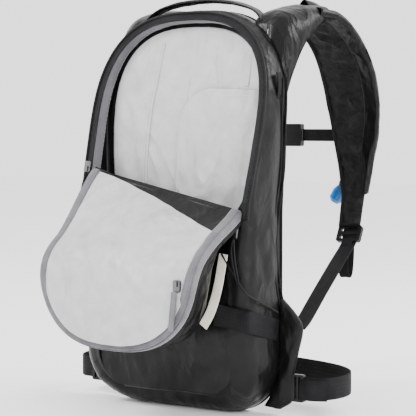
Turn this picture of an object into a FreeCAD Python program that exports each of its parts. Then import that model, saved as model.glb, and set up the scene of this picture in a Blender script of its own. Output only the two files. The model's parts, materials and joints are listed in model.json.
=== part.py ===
"""Hydration pack with a drop-down front flap, shoulder harness and hip belt.

Frame: millimetres, +Z up, -Y the front of the pack, +X the wearer's right side.
The origin is the middle of the flat rear face that rests on the wearer's back.
Every sub-part is one STEP file in parts/, named after its node.
"""
import FreeCAD, Part
import math
import os
from FreeCAD import Placement, Rotation, Vector

# ---------------------------------------------------------------- driving dimensions
TOP = 228.0                 # highest point of the pack's arch
BOTTOM = -228.0             # underside of the pack
HALF_WIDTH = 122.0          # half width where the arch starts
WAIST_HALF = 118.0          # half width below the opening
ARCH_START = 100.0          # height where the straight sides turn into the arch
ARCH_POWER = 2.6            # squareness of the arch (2 is an ellipse)
FOOT_RADIUS = 58.0          # lower corners, seen from the front
CLOTH = 2.0                 # wall thickness of a fabric panel with its padding

BACK_BEND_Z = 50.0          # above this the back leans away over the shoulders
BACK_RADIUS = 602.0         # radius of that lean
FOAM = 8.0                  # back pad

HINGE_Y, HINGE_Z = -70.0, 12.0      # fold line at the foot of the front flap
RIM_TOP_Y = -16.0                   # front rim at the top of the arch
OPENING_HALF = 112.0                # clear half width of the front opening
OPENING_TOP = 214.0                 # clear top of the front opening

KNEE_Y, KNEE_Z = -158.0, -52.0      # where the open flap bends over
TIP_ANGLE = 268.8                   # direction of the hanging flap tip, from +Y towards +Z
FLAP_CLEARANCE = 6.0                # flap outline inside the opening outline
TAPE = 10.0                         # width of the binding tapes
LINER = 2.0                         # flap lining thickness
SPLIT_GAP = 0.6                     # room between the two halves of the flap

STRAP_THICK = 9.0                   # shoulder pad
BELT_Z = -198.0                     # height of the hip belt
BELT_WEB = 25.0                     # hip belt webbing
STERNUM_Z = 84.0                    # height of the chest strap
HOSE_DIA = 9.0

SPAN = 400.0                        # longer than the pack, for cutting solids

LINING_DEPTH = 24.2                 # lining behind the middle of the front opening
HOSE_PORT = (96.0, 1.8, 196.0)      # where the hose leaves the pack
PORT_RADIUS = HOSE_DIA / 2 + 3.5
RESERVOIR_HALF = 76.0               # half width of the water bag
RESERVOIR_DEPTH = 16.8      # middle of the water bag, in front of the rear face
FLAP_HALF = OPENING_HALF - FLAP_CLEARANCE
BASE_ANGLE = math.degrees(math.atan2(KNEE_Z - HINGE_Z, KNEE_Y - HINGE_Y)) % 360
BASE_LENGTH = math.hypot(KNEE_Z - HINGE_Z, KNEE_Y - HINGE_Y)
RIM_SLOPE = math.hypot(TOP - HINGE_Z, RIM_TOP_Y - HINGE_Y) / (TOP - HINGE_Z)
FLAP_ARCH = (ARCH_START - HINGE_Z) * RIM_SLOPE
FLAP_LENGTH = (OPENING_TOP - HINGE_Z) * RIM_SLOPE - FLAP_CLEARANCE
SLIDER_RIGHT = (101.3, -77.0, -21.0)
STRAP_PATH = [(87, 59, 224.5), (90, 70, 226.5), (97, 102, 221), (104, 132, 196), (108, 155, 160),
              (108, 172, 112), (107, 178, 62), (110, 172, 20), (112, 163, -8), (113.8, 156.8, -22)]
STRAP_WIDTHS = [56, 62, 66, 66, 68, 66, 56, 34, 26, 26]
CHEST_Y = 189.6                     # depth of the chest strap in front of the pads
RAIL_DIRECTION = (0, -0.1045, 1)


# ---------------------------------------------------------------- plain helpers
def save(name, shape):
    """Write one node, after checking that its solids are sound."""
    solids = shape.Solids
    volume = sum(solid.Volume for solid in solids)
    if not solids or volume < 1.0 or not shape.isValid():
        print("BAD", name, len(solids), volume, shape.isValid())
    Part.makeCompound(solids).exportStep("parts/" + name + ".step")
    box = shape.BoundBox
    print("%-26s %2d %9.0f  x %6.1f %6.1f  y %6.1f %6.1f  z %6.1f %6.1f" % (
        name, len(solids), volume, box.XMin, box.XMax, box.YMin, box.YMax, box.ZMin, box.ZMax))


def block(x0, x1, y0, y1, z0, z1):
    """An axis-aligned block between two corners."""
    return Part.makeBox(x1 - x0, y1 - y0, z1 - z0, Vector(x0, y0, z0))


def mirrored(shape):
    """The same piece on the other side of the pack."""
    return shape.mirror(Vector(0, 0, 0), Vector(1, 0, 0))


def side_prism(points, x0=-SPAN, x1=SPAN):
    """Push a closed (y, z) outline along X."""
    corners = [Vector(x0, y, z) for y, z in points]
    return Part.Face(Part.makePolygon(corners + corners[:1])).extrude(Vector(x1 - x0, 0, 0))


def front_prism(wire, y0=-SPAN, y1=SPAN):
    """Push a closed outline that lies at y = 0 along Y."""
    face = Part.Face(wire)
    face.translate(Vector(0, y0, 0))
    return face.extrude(Vector(0, y1 - y0, 0))


def cylinder(centre, axis, radius, length):
    """A cylinder centred on a point."""
    direction = Vector(*axis).normalize()
    start = Vector(*centre) - direction * (length / 2)
    return Part.makeCylinder(radius, length, start, direction)


def rounded_block(size, radius, placement):
    """A block centred on a placement, with its four long edges along local Y rounded."""
    sx, sy, sz = size
    body = block(-sx / 2, sx / 2, -sy / 2, sy / 2, -sz / 2, sz / 2)
    edges = [e for e in body.Edges if abs(e.Vertexes[0].Y - e.Vertexes[1].Y) > sy / 2]
    body = body.makeFillet(radius, edges)
    body.Placement = placement
    return body


def placed(shape, placement):
    """A copy of a locally built shape, put in place."""
    copy = shape.copy()
    copy.Placement = placement.multiply(copy.Placement)
    return copy


def basis(origin, along, across):
    """Placement whose local z runs along, local x across and local y off the face."""
    along = Vector(*along).normalize()
    across = Vector(*across)
    across = (across - along * across.dot(along)).normalize()
    normal = along.cross(across)
    return Placement(Vector(*origin), Rotation(across, normal, along, "ZXY"))


def ribbon(points, width, thick, across=(1, 0, 0), lift=0.0):
    """A flat strap along a path: width and thick may change from point to point."""
    path = [Vector(*p) for p in points]
    count = len(path)
    widths = width if isinstance(width, (list, tuple)) else [width] * count
    thicks = thick if isinstance(thick, (list, tuple)) else [thick] * count
    wires = []
    for i, point in enumerate(path):
        before = (path[i] - path[i - 1]).normalize() if i else None
        after = (path[i + 1] - path[i]).normalize() if i < count - 1 else None
        before = before or after
        after = after or before
        along = (before + after).normalize()
        side = Vector(*across)
        side = (side - along * side.dot(along)).normalize()
        normal = along.cross(side)
        mitre = 1.0 / max(0.5, along.dot(after))
        half_w = side * (widths[i] / 2)
        low = normal * ((lift - thicks[i] / 2) * mitre)
        high = normal * ((lift + thicks[i] / 2) * mitre)
        corners = [point - half_w + low, point + half_w + low, point + half_w + high, point - half_w + high]
        wires.append(Part.makePolygon(corners + corners[:1]))
    return Part.makeLoft(wires, True, True)


def tube(name, points, diameter):
    """A hose of straight runs joined by tangent arcs, each as large as its runs allow."""
    path = [Vector(*p) for p in points]
    edges = []
    radii = []
    start = path[0]
    for i in range(1, len(path) - 1):
        inward = (path[i] - path[i - 1])
        outward = (path[i + 1] - path[i])
        turn = inward.getAngle(outward)
        reach = 0.45 * min(inward.Length, outward.Length)
        radius = reach / math.tan(turn / 2)
        radii.append(round(radius, 1))
        first = path[i] - inward.normalize() * reach
        last = path[i] + outward.normalize() * reach
        bisector = ((first + last) * 0.5 - path[i]).normalize()
        middle = path[i] + bisector * (radius / math.cos(turn / 2) - radius)
        edges.append(Part.LineSegment(start, first).toShape())
        edges.append(Part.Arc(first, middle, last).toShape())
        start = last
    edges.append(Part.LineSegment(start, path[-1]).toShape())
    wire = Part.Wire(edges)
    ring = Part.Wire([Part.makeCircle(diameter / 2, path[0], path[1] - path[0])])
    solid = wire.makePipeShell([ring], True, True)
    expected = math.pi * diameter * diameter / 4 * wire.Length
    print("tube %s length %.1f radii %s volume ratio %.3f" % (name, wire.Length, radii, solid.Volume / expected))
    return solid


# ---------------------------------------------------------------- the pack's own outlines
def back_y(z):
    """Rear face of the pack at a height: flat below, leaning back over the shoulders above."""
    if z <= BACK_BEND_Z:
        return 0.0
    return BACK_RADIUS - math.sqrt(BACK_RADIUS ** 2 - (z - BACK_BEND_Z) ** 2)


def rim_y(z):
    """Front rim of the opening at a height."""
    return HINGE_Y + (RIM_TOP_Y - HINGE_Y) * (z - HINGE_Z) / (TOP - HINGE_Z)


def arch_points(half, start, top, power, count=16):
    """Points of the arch from its right foot over the top to its left foot."""
    points = []
    for i in range(count + 1):
        angle = math.pi * i / count
        c, s = math.cos(angle), math.sin(angle)
        x = math.copysign(half * abs(c) ** (2 / power), c)
        points.append((x, start + (top - start) * s ** (2 / power)))
    return points


def arch_edge(points, plane):
    """A smooth curve through arch points; plane turns (a, b) into a vector."""
    curve = Part.BSplineCurve()
    curve.interpolate([plane(a, b) for a, b in points])
    return curve.toShape()


def at_front(x, z):
    """A point of an outline drawn on the plane y = 0."""
    return Vector(x, 0, z)


def pack_outline(inset):
    """Outline of the pack seen from the front, pulled in by an inset."""
    radius = FOOT_RADIUS - inset
    cx, cz = WAIST_HALF - FOOT_RADIUS, BOTTOM + FOOT_RADIUS
    waist = WAIST_HALF - inset
    wide = HALF_WIDTH - inset
    low = BOTTOM + inset
    diagonal = radius * math.sqrt(0.5)
    edges = [Part.LineSegment(at_front(-cx, low), at_front(cx, low)).toShape()]
    edges.append(Part.Arc(at_front(cx, low), at_front(cx + diagonal, cz - diagonal), at_front(waist, cz)).toShape())
    edges.append(Part.LineSegment(at_front(waist, cz), at_front(waist, 0)).toShape())
    edges.append(Part.LineSegment(at_front(waist, 0), at_front(wide, ARCH_START)).toShape())
    edges.append(arch_edge(arch_points(wide, ARCH_START, TOP - inset, ARCH_POWER), at_front))
    edges.append(Part.LineSegment(at_front(-wide, ARCH_START), at_front(-waist, 0)).toShape())
    edges.append(Part.LineSegment(at_front(-waist, 0), at_front(-waist, cz)).toShape())
    edges.append(Part.Arc(at_front(-waist, cz), at_front(-cx - diagonal, cz - diagonal), at_front(-cx, low)).toShape())
    return Part.Wire(edges)


def opening_outline(inset):
    """Outline of the front opening, pulled in by an inset."""
    half = OPENING_HALF - inset
    foot = HINGE_Z - 20
    edges = [arch_edge(arch_points(half, ARCH_START, OPENING_TOP - inset, ARCH_POWER), at_front)]
    corners = [at_front(-half, ARCH_START), at_front(-half, foot), at_front(half, foot), at_front(half, ARCH_START)]
    edges += Part.makePolygon(corners).Edges
    return Part.Wire(edges)


def back_slab(near, far, half=SPAN):
    """A layer that follows the back, between two depths in front of the rear face."""
    lift = math.asin((TOP + 8 - BACK_BEND_Z) / BACK_RADIUS) + (0.1 if near < 0 else 0.0)

    def on_arc(depth, angle):
        radius = BACK_RADIUS + depth
        return Vector(-half, BACK_RADIUS - radius * math.cos(angle), BACK_BEND_Z + radius * math.sin(angle))

    low = BOTTOM - 4
    edges = [Part.LineSegment(Vector(-half, -near, low), on_arc(near, 0)).toShape()]
    edges.append(Part.Arc(on_arc(near, 0), on_arc(near, lift / 2), on_arc(near, lift)).toShape())
    edges.append(Part.LineSegment(on_arc(near, lift), on_arc(far, lift)).toShape())
    edges.append(Part.Arc(on_arc(far, lift), on_arc(far, lift / 2), on_arc(far, 0)).toShape())
    edges.append(Part.LineSegment(on_arc(far, 0), Vector(-half, -far, low)).toShape())
    edges.append(Part.LineSegment(Vector(-half, -far, low), Vector(-half, -near, low)).toShape())
    return Part.Face(Part.Wire(edges)).extrude(Vector(2 * half, 0, 0))


FRONT_PROFILE = [(-48, BOTTOM - 4), (-50, BOTTOM), (-66, -205), (-74, -150), (-74, -60), (HINGE_Y, HINGE_Z),
                 (rim_y(TOP + 4), TOP + 4)]


def pack_profile(shift=0.0):
    """Everything between the front of the pack and its rear face, pushed back by a shift."""
    front = [(y + shift, z) for y, z in FRONT_PROFILE]
    return side_prism(front + [(80, TOP + 4), (80, BOTTOM - 4)])


def front_skin(near, far):
    """A layer just behind the front of the pack, between two depths."""
    return pack_profile(near).cut(pack_profile(far))


# ---------------------------------------------------------------- pack shell and lining
def make_shell():
    behind = back_slab(-120, FOAM)
    wall = front_prism(pack_outline(0)).cut(front_prism(pack_outline(CLOTH)))
    wall = wall.common(pack_profile()).cut(behind)
    inside = front_prism(pack_outline(CLOTH))
    split_top, split_foot = 150.0, BOTTOM + FOOT_RADIUS

    hose_hole = cylinder(HOSE_PORT, (0, 0, 1), PORT_RADIUS, 60)
    save("top_panel", wall.common(block(-SPAN, SPAN, -SPAN, SPAN, split_top, SPAN)).cut(hose_hole))
    save("side_panel_right", wall.common(block(0, SPAN, -SPAN, SPAN, split_foot, split_top)))
    save("side_panel_left", wall.common(block(-SPAN, 0, -SPAN, SPAN, split_foot, split_top)))
    save("bottom_panel", wall.common(block(-SPAN, SPAN, -SPAN, SPAN, -SPAN, split_foot)))

    below = block(-SPAN, SPAN, -SPAN, SPAN, -SPAN, HINGE_Z)
    above = block(-SPAN, SPAN, -SPAN, SPAN, HINGE_Z + 0.2, SPAN)
    front = front_skin(0, CLOTH).common(inside).common(below)
    save("lower_front_panel", front)
    flange = front_skin(0, 1.6).common(inside).common(above).cut(front_prism(opening_outline(0)))
    tail = ribbon([(100, -74.9, -46), (101.5, -74.4, -28), (105, -73.2, -8), (110, -71.4, 11)], 9, 1.2)
    save("opening_zip_tape", Part.makeCompound([flange, tail]))
    tape = front_prism(opening_outline(0)).cut(front_prism(opening_outline(1.2)))
    tape = tape.common(front_skin(1.7, 1.7 + TAPE)).common(block(-SPAN, SPAN, -SPAN, SPAN, HINGE_Z + 30, SPAN))
    save("opening_binding", tape)

    lip = [at_front(-104, HINGE_Z + 0.2), at_front(98, HINGE_Z + 0.2), at_front(80, HINGE_Z + 3),
           at_front(-88, 42), at_front(-104, 46)]
    save("inner_lip", front_prism(Part.makePolygon(lip + lip[:1]), -57, -55.8))

    save("back_pad", back_slab(0, FOAM).common(inside))
    save("frame_sheet", back_slab(FOAM + 0.1, FOAM + 1.6).common(front_prism(pack_outline(16))))
    lining = back_slab(LINING_DEPTH, LINING_DEPTH + 1.2).common(inside)
    pocket = back_slab(LINING_DEPTH + 1.3, LINING_DEPTH + 2.5)
    pocket = pocket.common(front_prism(pocket_outline()))
    save("compartment_lining", Part.makeCompound([lining, pocket]))


def pocket_outline():
    """Slip pocket sewn to the lining: straight top edge, one large rounded corner."""
    right = HALF_WIDTH - CLOTH - 6
    top, radius, left, low = 118.0, 46.0, -28.0, -20.0
    corner = radius * (1 - math.sqrt(0.5))
    edges = [Part.LineSegment(at_front(right, low), at_front(right, top)).toShape()]
    edges.append(Part.LineSegment(at_front(right, top), at_front(left + radius, top)).toShape())
    edges.append(Part.Arc(at_front(left + radius, top), at_front(left + corner, top - corner),
                          at_front(left, top - radius)).toShape())
    edges.append(Part.LineSegment(at_front(left, top - radius), at_front(left, low)).toShape())
    edges.append(Part.LineSegment(at_front(left, low), at_front(right, low)).toShape())
    return Part.Wire(edges)


# ---------------------------------------------------------------- water reservoir and hose


def make_reservoir():
    bag = back_slab(FOAM + 2.4, LINING_DEPTH - 0.4, RESERVOIR_HALF)
    radius = 30.0
    low, high = -196.0, 128.0
    outline = block(-RESERVOIR_HALF, RESERVOIR_HALF, -SPAN, SPAN, low, high)
    edges = [e for e in outline.Edges if abs(e.Vertexes[0].Y - e.Vertexes[1].Y) > SPAN]
    outline = outline.makeFillet(radius, edges)
    port = cylinder((0, -RESERVOIR_DEPTH, 84), (0, 1, 0), 34, 60)
    link = cylinder((58, -RESERVOIR_DEPTH, -178), (1, 0, 0), 8.2, 60)
    save("reservoir_bag", bag.common(outline).cut(port).cut(link))

    centre = back_y(84)
    front = -LINING_DEPTH + 0.4 + centre
    rear = -FOAM - 2.4 + centre
    ring = cylinder((0, (front + rear) / 2 + 1.65, 84), (0, 1, 0), 33.8, rear - front - 6.5)
    ring = ring.cut(cylinder((0, -RESERVOIR_DEPTH, 84), (0, 1, 0), 27, 60))
    cap = cylinder((0, front + 3.5, 84), (0, 1, 0), 30, 2)
    skirt = cylinder((0, front + 6.5, 84), (0, 1, 0), 26.7, 4.2)
    save("reservoir_cap", cap.fuse(skirt))
    hanger = back_slab(FOAM + 5, FOAM + 11).common(block(-60, 60, -SPAN, SPAN, high + 0.4, high + 9))
    loop = ribbon([(0, back_y(z) - FOAM - 3.2, z) for z in (high + 2, 158, 186)], 20, 1.2)
    save("reservoir_hanger", Part.makeCompound([hanger, loop]))
    link = cylinder((66, -RESERVOIR_DEPTH, -178), (1, 0, 0), 6.2, 22)

    depth = -RESERVOIR_DEPTH
    route = [(77.8, depth, -178), (92, depth, -177), (99.5, depth, -160), (100, depth - 0.5, -105),
             (99.3, depth, -45), (100.2, depth - 0.3, 10), (101, depth + 0.2, 62), (100.5, back_y(112) + depth, 112),
             (98.6, back_y(154) + depth, 154), (96, -1, 184), (95, 6, 206), (93, 19, 222), (89.5, 35, 230.5)]
    save("hose_in_pack", tube("hose_in_pack", route, HOSE_DIA))
    x, y, z = HOSE_PORT
    grommet = cylinder((x, y + 1, z + 2), (0, 0, 1), 10, 12).cut(cylinder(HOSE_PORT, (0, 0, 1), PORT_RADIUS, 60))
    grommet = grommet.common(front_prism(pack_outline(-3))).cut(front_prism(pack_outline(-0.1)))
    save("reservoir_fittings", Part.makeCompound([ring, link, grommet]))


# ---------------------------------------------------------------- front flap


def unit(angle):
    """Direction in the side view, as (y, z)."""
    return (math.cos(math.radians(angle)), math.sin(math.radians(angle)))


def flap_plane(angle, y, z):
    """Local x stays X, local z runs down the flap and local y points off its lined face."""
    return Placement(Vector(0, y, z), Rotation(Vector(1, 0, 0), angle - 90))


def flap_outline(inset):
    """The flap's arch, drawn with z as the distance from the hinge."""
    half = FLAP_HALF - inset
    edges = [arch_edge(arch_points(half, FLAP_ARCH, FLAP_LENGTH - inset, ARCH_POWER), at_front)]
    corners = [at_front(-half, FLAP_ARCH), at_front(-half, -60), at_front(half, -60), at_front(half, FLAP_ARCH)]
    edges += Part.makePolygon(corners).Edges
    return Part.Wire(edges)


def flap_column(inset, angle, y, z, start):
    """The flap outline pushed square off its plane, for cutting solids to shape."""
    column = front_prism(flap_outline(inset), -200, 200)
    column.translate(Vector(0, 0, -start))
    column.Placement = flap_plane(angle, y, z).multiply(column.Placement)
    return column


def step(point, angle, length):
    """Walk from a (y, z) point in a direction."""
    dy, dz = unit(angle)
    return (point[0] + dy * length, point[1] + dz * length)


def make_flap():
    hinge, knee = (HINGE_Y, HINGE_Z), (KNEE_Y, KNEE_Z)
    root = step(hinge, BASE_ANGLE, 5)
    tip = step(knee, TIP_ANGLE, FLAP_LENGTH - BASE_LENGTH)
    inner_turn = (BASE_ANGLE + 180 + TIP_ANGLE) / 2
    if math.cos(math.radians(inner_turn)) < 0:
        inner_turn += 180
    heel = step(knee, inner_turn, 70.6)
    half_turn = math.radians((TIP_ANGLE - BASE_ANGLE) / 2)
    crest = step(knee, inner_turn + 180, LINER / math.cos(half_turn))
    print("knee pivot y %.3f z %.3f" % crest)
    print("flap length %.2f base angle %.3f" % (FLAP_LENGTH, BASE_ANGLE))

    cut_dir = unit(inner_turn)
    gap = side_prism([(knee[0] + cut_dir[0] * s - cut_dir[1] * o, knee[1] + cut_dir[1] * s + cut_dir[0] * o)
                      for s, o in ((-30, -SPLIT_GAP / 2), (200, -SPLIT_GAP / 2), (200, SPLIT_GAP / 2),
                                   (-30, SPLIT_GAP / 2))])
    base_cut = flap_column(0, BASE_ANGLE, *hinge, 0)
    base_inner = flap_column(CLOTH, BASE_ANGLE, *hinge, 0)
    tip_cut = flap_column(0, TIP_ANGLE, *knee, BASE_LENGTH)
    tip_inner = flap_column(CLOTH, TIP_ANGLE, *knee, BASE_LENGTH)

    base_body = side_prism([root, knee, heel]).common(base_cut)
    base_hollow = side_prism(inset_wedge(root, knee, heel)).common(base_inner)
    save("flap_shell_lower", base_body.cut(base_hollow).cut(gap))

    back = [heel, (-100, -112), (-116, -134), (-140, -144)]
    tip_body = side_prism([knee] + back + [tip]).common(tip_cut)
    inner_back = [(heel[0] - 1.6, heel[1] + 8), (-102, -111), (-117.5, -132.2), (-140.6, -142), (-170, -143.5),
                  (-170, -40), (knee[0] + 4, knee[1] + 8)]
    save("flap_shell_upper", tip_body.cut(side_prism(inner_back).common(tip_inner)).cut(gap))

    lid_low = side_prism([root, knee, crest, step(root, BASE_ANGLE - 90, LINER)])
    lid_high = side_prism([knee, tip, step(tip, TIP_ANGLE - 90, LINER), crest])
    base_column = (BASE_ANGLE, *hinge, 0)
    tip_column = (TIP_ANGLE, *knee, BASE_LENGTH)
    wedges = {"lower": (side_prism([root, knee, heel]), lid_low, base_column),
              "upper": (side_prism([knee] + back + [tip]), lid_high, tip_column)}
    for name, (wedge, lid, column) in wedges.items():
        whole = lid.common(flap_column(0, *column)).cut(gap)
        centre = flap_column(TAPE, *column)
        save("flap_lining_" + name, whole.common(centre))
        binding = whole.cut(centre)
        angle, y, z, start = column
        near = step((y, z), angle + 180, 60)
        far = step((y, z), angle, 400)
        layer = side_prism([near, step(near, angle + 90, 8), step(far, angle + 90, 8), far])
        zip_tape = flap_column(-1.2, *column).cut(flap_column(0.05, *column)).common(layer).common(wedge).cut(gap)
        save("flap_trim_" + name, Part.makeCompound([binding, zip_tape]))


def inset_wedge(root, knee, heel):
    """Hollow of the flap's lower half: open on the lined side and at the knee."""
    return [step(root, 290, 5), step(step(root, BASE_ANGLE, 6), BASE_ANGLE - 90, 3),
            step(step(knee, BASE_ANGLE, 20), BASE_ANGLE - 90, 3), step(step(knee, 332, 20), 242, 40),
            step(step(heel, 242, 40), 152, 3), step(heel, 152, 3)]


# ---------------------------------------------------------------- zips, pulls and cords
def slider(centre, along, across):
    """A zip slider: a waisted block with the bridge that its pull hangs from."""
    body = rounded_block((9, 3, 13), 2.0, Placement())
    bridge = block(-1.5, 1.5, 1.4, 3.2, -5.5, 0.5)
    return placed(body.fuse(bridge), basis(centre, along, across))


def make_zips():
    down = (-0.12, -0.04, -1)
    save("zip_slider_right", slider(SLIDER_RIGHT, down, (1, 0, 0)))
    pull = ribbon([(103, -81.2, -28.4), (105, -81.4, -50), (109, -81.4, -74)], 7, 1.4)
    save("zip_pull_right", pull)
    rim = (0, RIM_TOP_Y - HINGE_Y, TOP - HINGE_Z)
    left_y = rim_y(48)
    save("zip_slider_left", slider((-115.5, left_y - 2.2, 48), rim, (-1, 0, 0)))
    pull = ribbon([(-115.5, left_y - 6.4, 41), (-117, left_y - 15, 4)], 5, 1.8)
    save("zip_pull_left", pull)

    tip_y = KNEE_Y - LINER - 2.2
    save("pocket_slider", slider((86, tip_y - 0.2, -74), (0, -0.0209, -1), (1, 0, 0)))
    pull = ribbon([(86, tip_y - 5.2, -80), (84, tip_y - 5.6, -101), (81.5, tip_y - 5.8, -122)], [6, 6.4, 5.4], 2.4)
    save("pocket_pull", pull)


# ---------------------------------------------------------------- straps sewn to the pack
def make_pack_straps():
    front_y = -76.2
    band = [(79, front_y, -113), (117, front_y - 0.4, -118.6), (121.4, -72, -120), (120.6, -20, -133)]
    band = ribbon(band, BELT_WEB, 1.6, (0, 0, 1))
    tab = block(121.4, 122.8, -24, -14, 128, 154)
    save("side_bands", Part.makeCompound([band, mirrored(band), tab, mirrored(tab)]))
    carry = ribbon([(87, -75.6, -47), (85, -75.9, -66), (80, -75.9, -88), (72, -75.9, -108), (62, -75.9, -125)],
                   11, 1.8)
    save("carry_strap", carry)
    hook = rounded_block((4, 2.6, 17), 1.2, basis((95, -76.0, -74), (0.05, 0, -1), (1, 0, 0)))
    save("carry_hook", hook)
    route = [(86, -78.2, -45), (94.5, -78.3, -56.5), (103.5, -78.4, -69), (112.5, -78.6, -80),
             (119.6, -76.8, -88), (122.6, -70, -93.5), (122.4, -38, -106), (121.4, -21, -113)]
    save("side_cord", tube("side_cord", route, 2.2))

    half = [(84, 11, 208.6), (80.5, 11.5, 220), (67, 12.5, 230.5), (45, 13.5, 237), (22, 14, 240.4)]
    path = half + [(0, 14, 241.4)] + [(-x, y, z) for x, y, z in reversed(half)]
    widths = [15, 16, 18, 20, 22, 22, 22, 20, 18, 16, 15]
    thicks = [2.4, 2.6, 4, 5, 6, 6, 6, 5, 4, 2.6, 2.4]
    save("haul_handle", ribbon(path, widths, thicks, (0, 1, 0)))


# ---------------------------------------------------------------- shoulder harness


def make_harness():
    yoke = [(88, back_y(z) + 5.4, z) for z in (160, 180, 198)] + [(86, 38, 213)]
    yoke = ribbon(yoke, [70, 70, 66, 56], STRAP_THICK)
    pad = ribbon(STRAP_PATH, STRAP_WIDTHS, STRAP_THICK)
    mesh = ribbon(STRAP_PATH[1:8], [w - 12 for w in STRAP_WIDTHS[1:8]], 3, (1, 0, 0), STRAP_THICK / 2 + 1.7)
    sleeve = ribbon(STRAP_PATH[1:7], 32, 1.2, (1, 0, 0), -STRAP_THICK / 2 - HOSE_DIA - 4.2)
    keeper = ribbon([(141.6, 140, 186), (143.8, 148, 172)], 5, 2)
    rail = cylinder((82, 183.8, 91), RAIL_DIRECTION, 1.5, 66)
    lock_place = basis((114.6, 152.5, -34.5), (0.05, -0.5, -0.86), (1, 0, 0))
    lock = rounded_block((32, 5, 21), 3.0, Placement())
    for z in (-5.2, 4.4):
        lock = lock.cut(block(-12, 12, -5, 5, z - 2.4, z + 2.4))
    lock = placed(lock, lock_place)
    webbing = [(116.4, 146.6, -44), (122, 108, -68), (129, 58, -98), (135, 16, -124)]
    webbing = ribbon(webbing, 20, 1.6)
    tail = [(117, 146, -47.6), (117, 144, -62), (118, 141, -80), (118.2, 137.8, -84), (118, 135.6, -80), (116, 134, -66)]
    tail = ribbon(tail, 18, 1.6)
    save("yokes", Part.makeCompound([yoke, mirrored(yoke)]))
    for name, pieces in (("shoulder_pad", [pad, mesh]), ("strap_trims", [keeper, rail]), ("ladder_lock", [lock]),
                         ("lower_webbing", [webbing, tail])):
        save(name + "_right", Part.makeCompound(pieces))
        save(name + "_left", mirrored(Part.makeCompound(pieces)))
    save("hose_sleeve", sleeve)

    route = [(88, 43, 233.5), (88.5, 54, 235.8), (90.5, 69, 237.2), (95, 87, 236), (99.5, 105.5, 231.2),
             (103.5, 124, 219.5), (107, 141, 203), (110, 155, 182), (111, 166, 160), (110.7, 175, 136),
             (110, 182.3, 112), (109.2, 186.8, 88), (106, 189.4, 66), (98.5, 190.6, 48), (91.5, 190.4, 35)]
    save("hose_in_strap", tube("hose_in_strap", route, HOSE_DIA))


def make_valve():
    along = Vector(-7.0, -2.5, -13.0).normalize()
    start = Vector(91.2, 190.2, 34.0)

    def turned(radius_a, radius_b, begin, length):
        return Part.makeCone(radius_a, radius_b, length, start + along * begin, along)

    body = turned(6.2, 7.2, 0.8, 11).fuse(turned(7.2, 5.6, 11.8, 4))
    lever_axis = along.cross(Vector(0, 1, 0)).normalize()
    save("shutoff_body", body)
    lever = Part.makeCylinder(4.6, 3.4, start + along * 7 - Vector(0, 1, 0) * -7.6, Vector(0, 1, 0))
    grip = ribbon([start + along * 7 + Vector(0, 9.4, 0), start + along * 7 + Vector(0, 9.4, 0) + lever_axis * 13],
                  7, 2.8, along)
    save("shutoff_lever", lever.fuse(grip))
    valve = turned(6.4, 8.8, 16.2, 7).fuse(turned(8.8, 8.4, 23.2, 10)).fuse(turned(8.4, 5.0, 33.2, 4))
    save("bite_valve", valve)
    print("valve axis", along, "lever axis through", start + along * 7)


def side_release(width, thick, length, web):
    """Female and male halves of a side-release buckle, meeting at x = 0; web is the strap it takes."""
    half_w, half_t = width / 2, thick / 2
    female = rounded_block((length, thick, width), 2.0, Placement(Vector(length / 2 + 0.2, 0, 0), Rotation()))
    female = female.cut(block(-1, length - 4, -half_t + 1.5, half_t - 1.5, -half_w + 2.6, half_w - 2.6))
    male = block(-length, -0.2, -half_t, half_t, -half_w, half_w)
    male = male.cut(block(-length - 1, -6, -1.7, 1.7, -web / 2 - 1, web / 2 + 1))
    for z in (-half_w + 5.4, 0, half_w - 5.4):
        male = male.fuse(block(-1, length * 0.68, -half_t + 2.2, half_t - 2.2, z - 1.6, z + 1.6))
    return female, male


def make_chest_strap():
    y = CHEST_Y
    female, male = side_release(28, 8, 24, 15)
    place = Placement(Vector(0, y, STERNUM_Z), Rotation())
    web = 15.0
    save("chest_buckle_female", placed(female, place))
    save("chest_buckle_male", placed(male, place))
    save("chest_webbing_right", ribbon([(24.8, y, STERNUM_Z), (60, y, STERNUM_Z), (77, y, STERNUM_Z)], web, 1.4,
                                       (0, 0, 1)))
    save("chest_webbing_left", ribbon([(-6.8, y, STERNUM_Z), (-40, y, STERNUM_Z), (-76.6, y, STERNUM_Z)], web, 1.4,
                                      (0, 0, 1)))
    clip = rounded_block((10, 11, 22), 2.0, Placement(Vector(82, y - 1.2, STERNUM_Z), Rotation()))
    clip = clip.cut(cylinder((82, 183.8, 91), RAIL_DIRECTION, 2.0, 80))
    clip = clip.cut(block(70, 95, y - 1.4, y + 1.4, STERNUM_Z - 8.2, STERNUM_Z + 8.2))
    save("chest_slider_left", mirrored(clip))
    save("chest_slider_right", clip)


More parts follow.
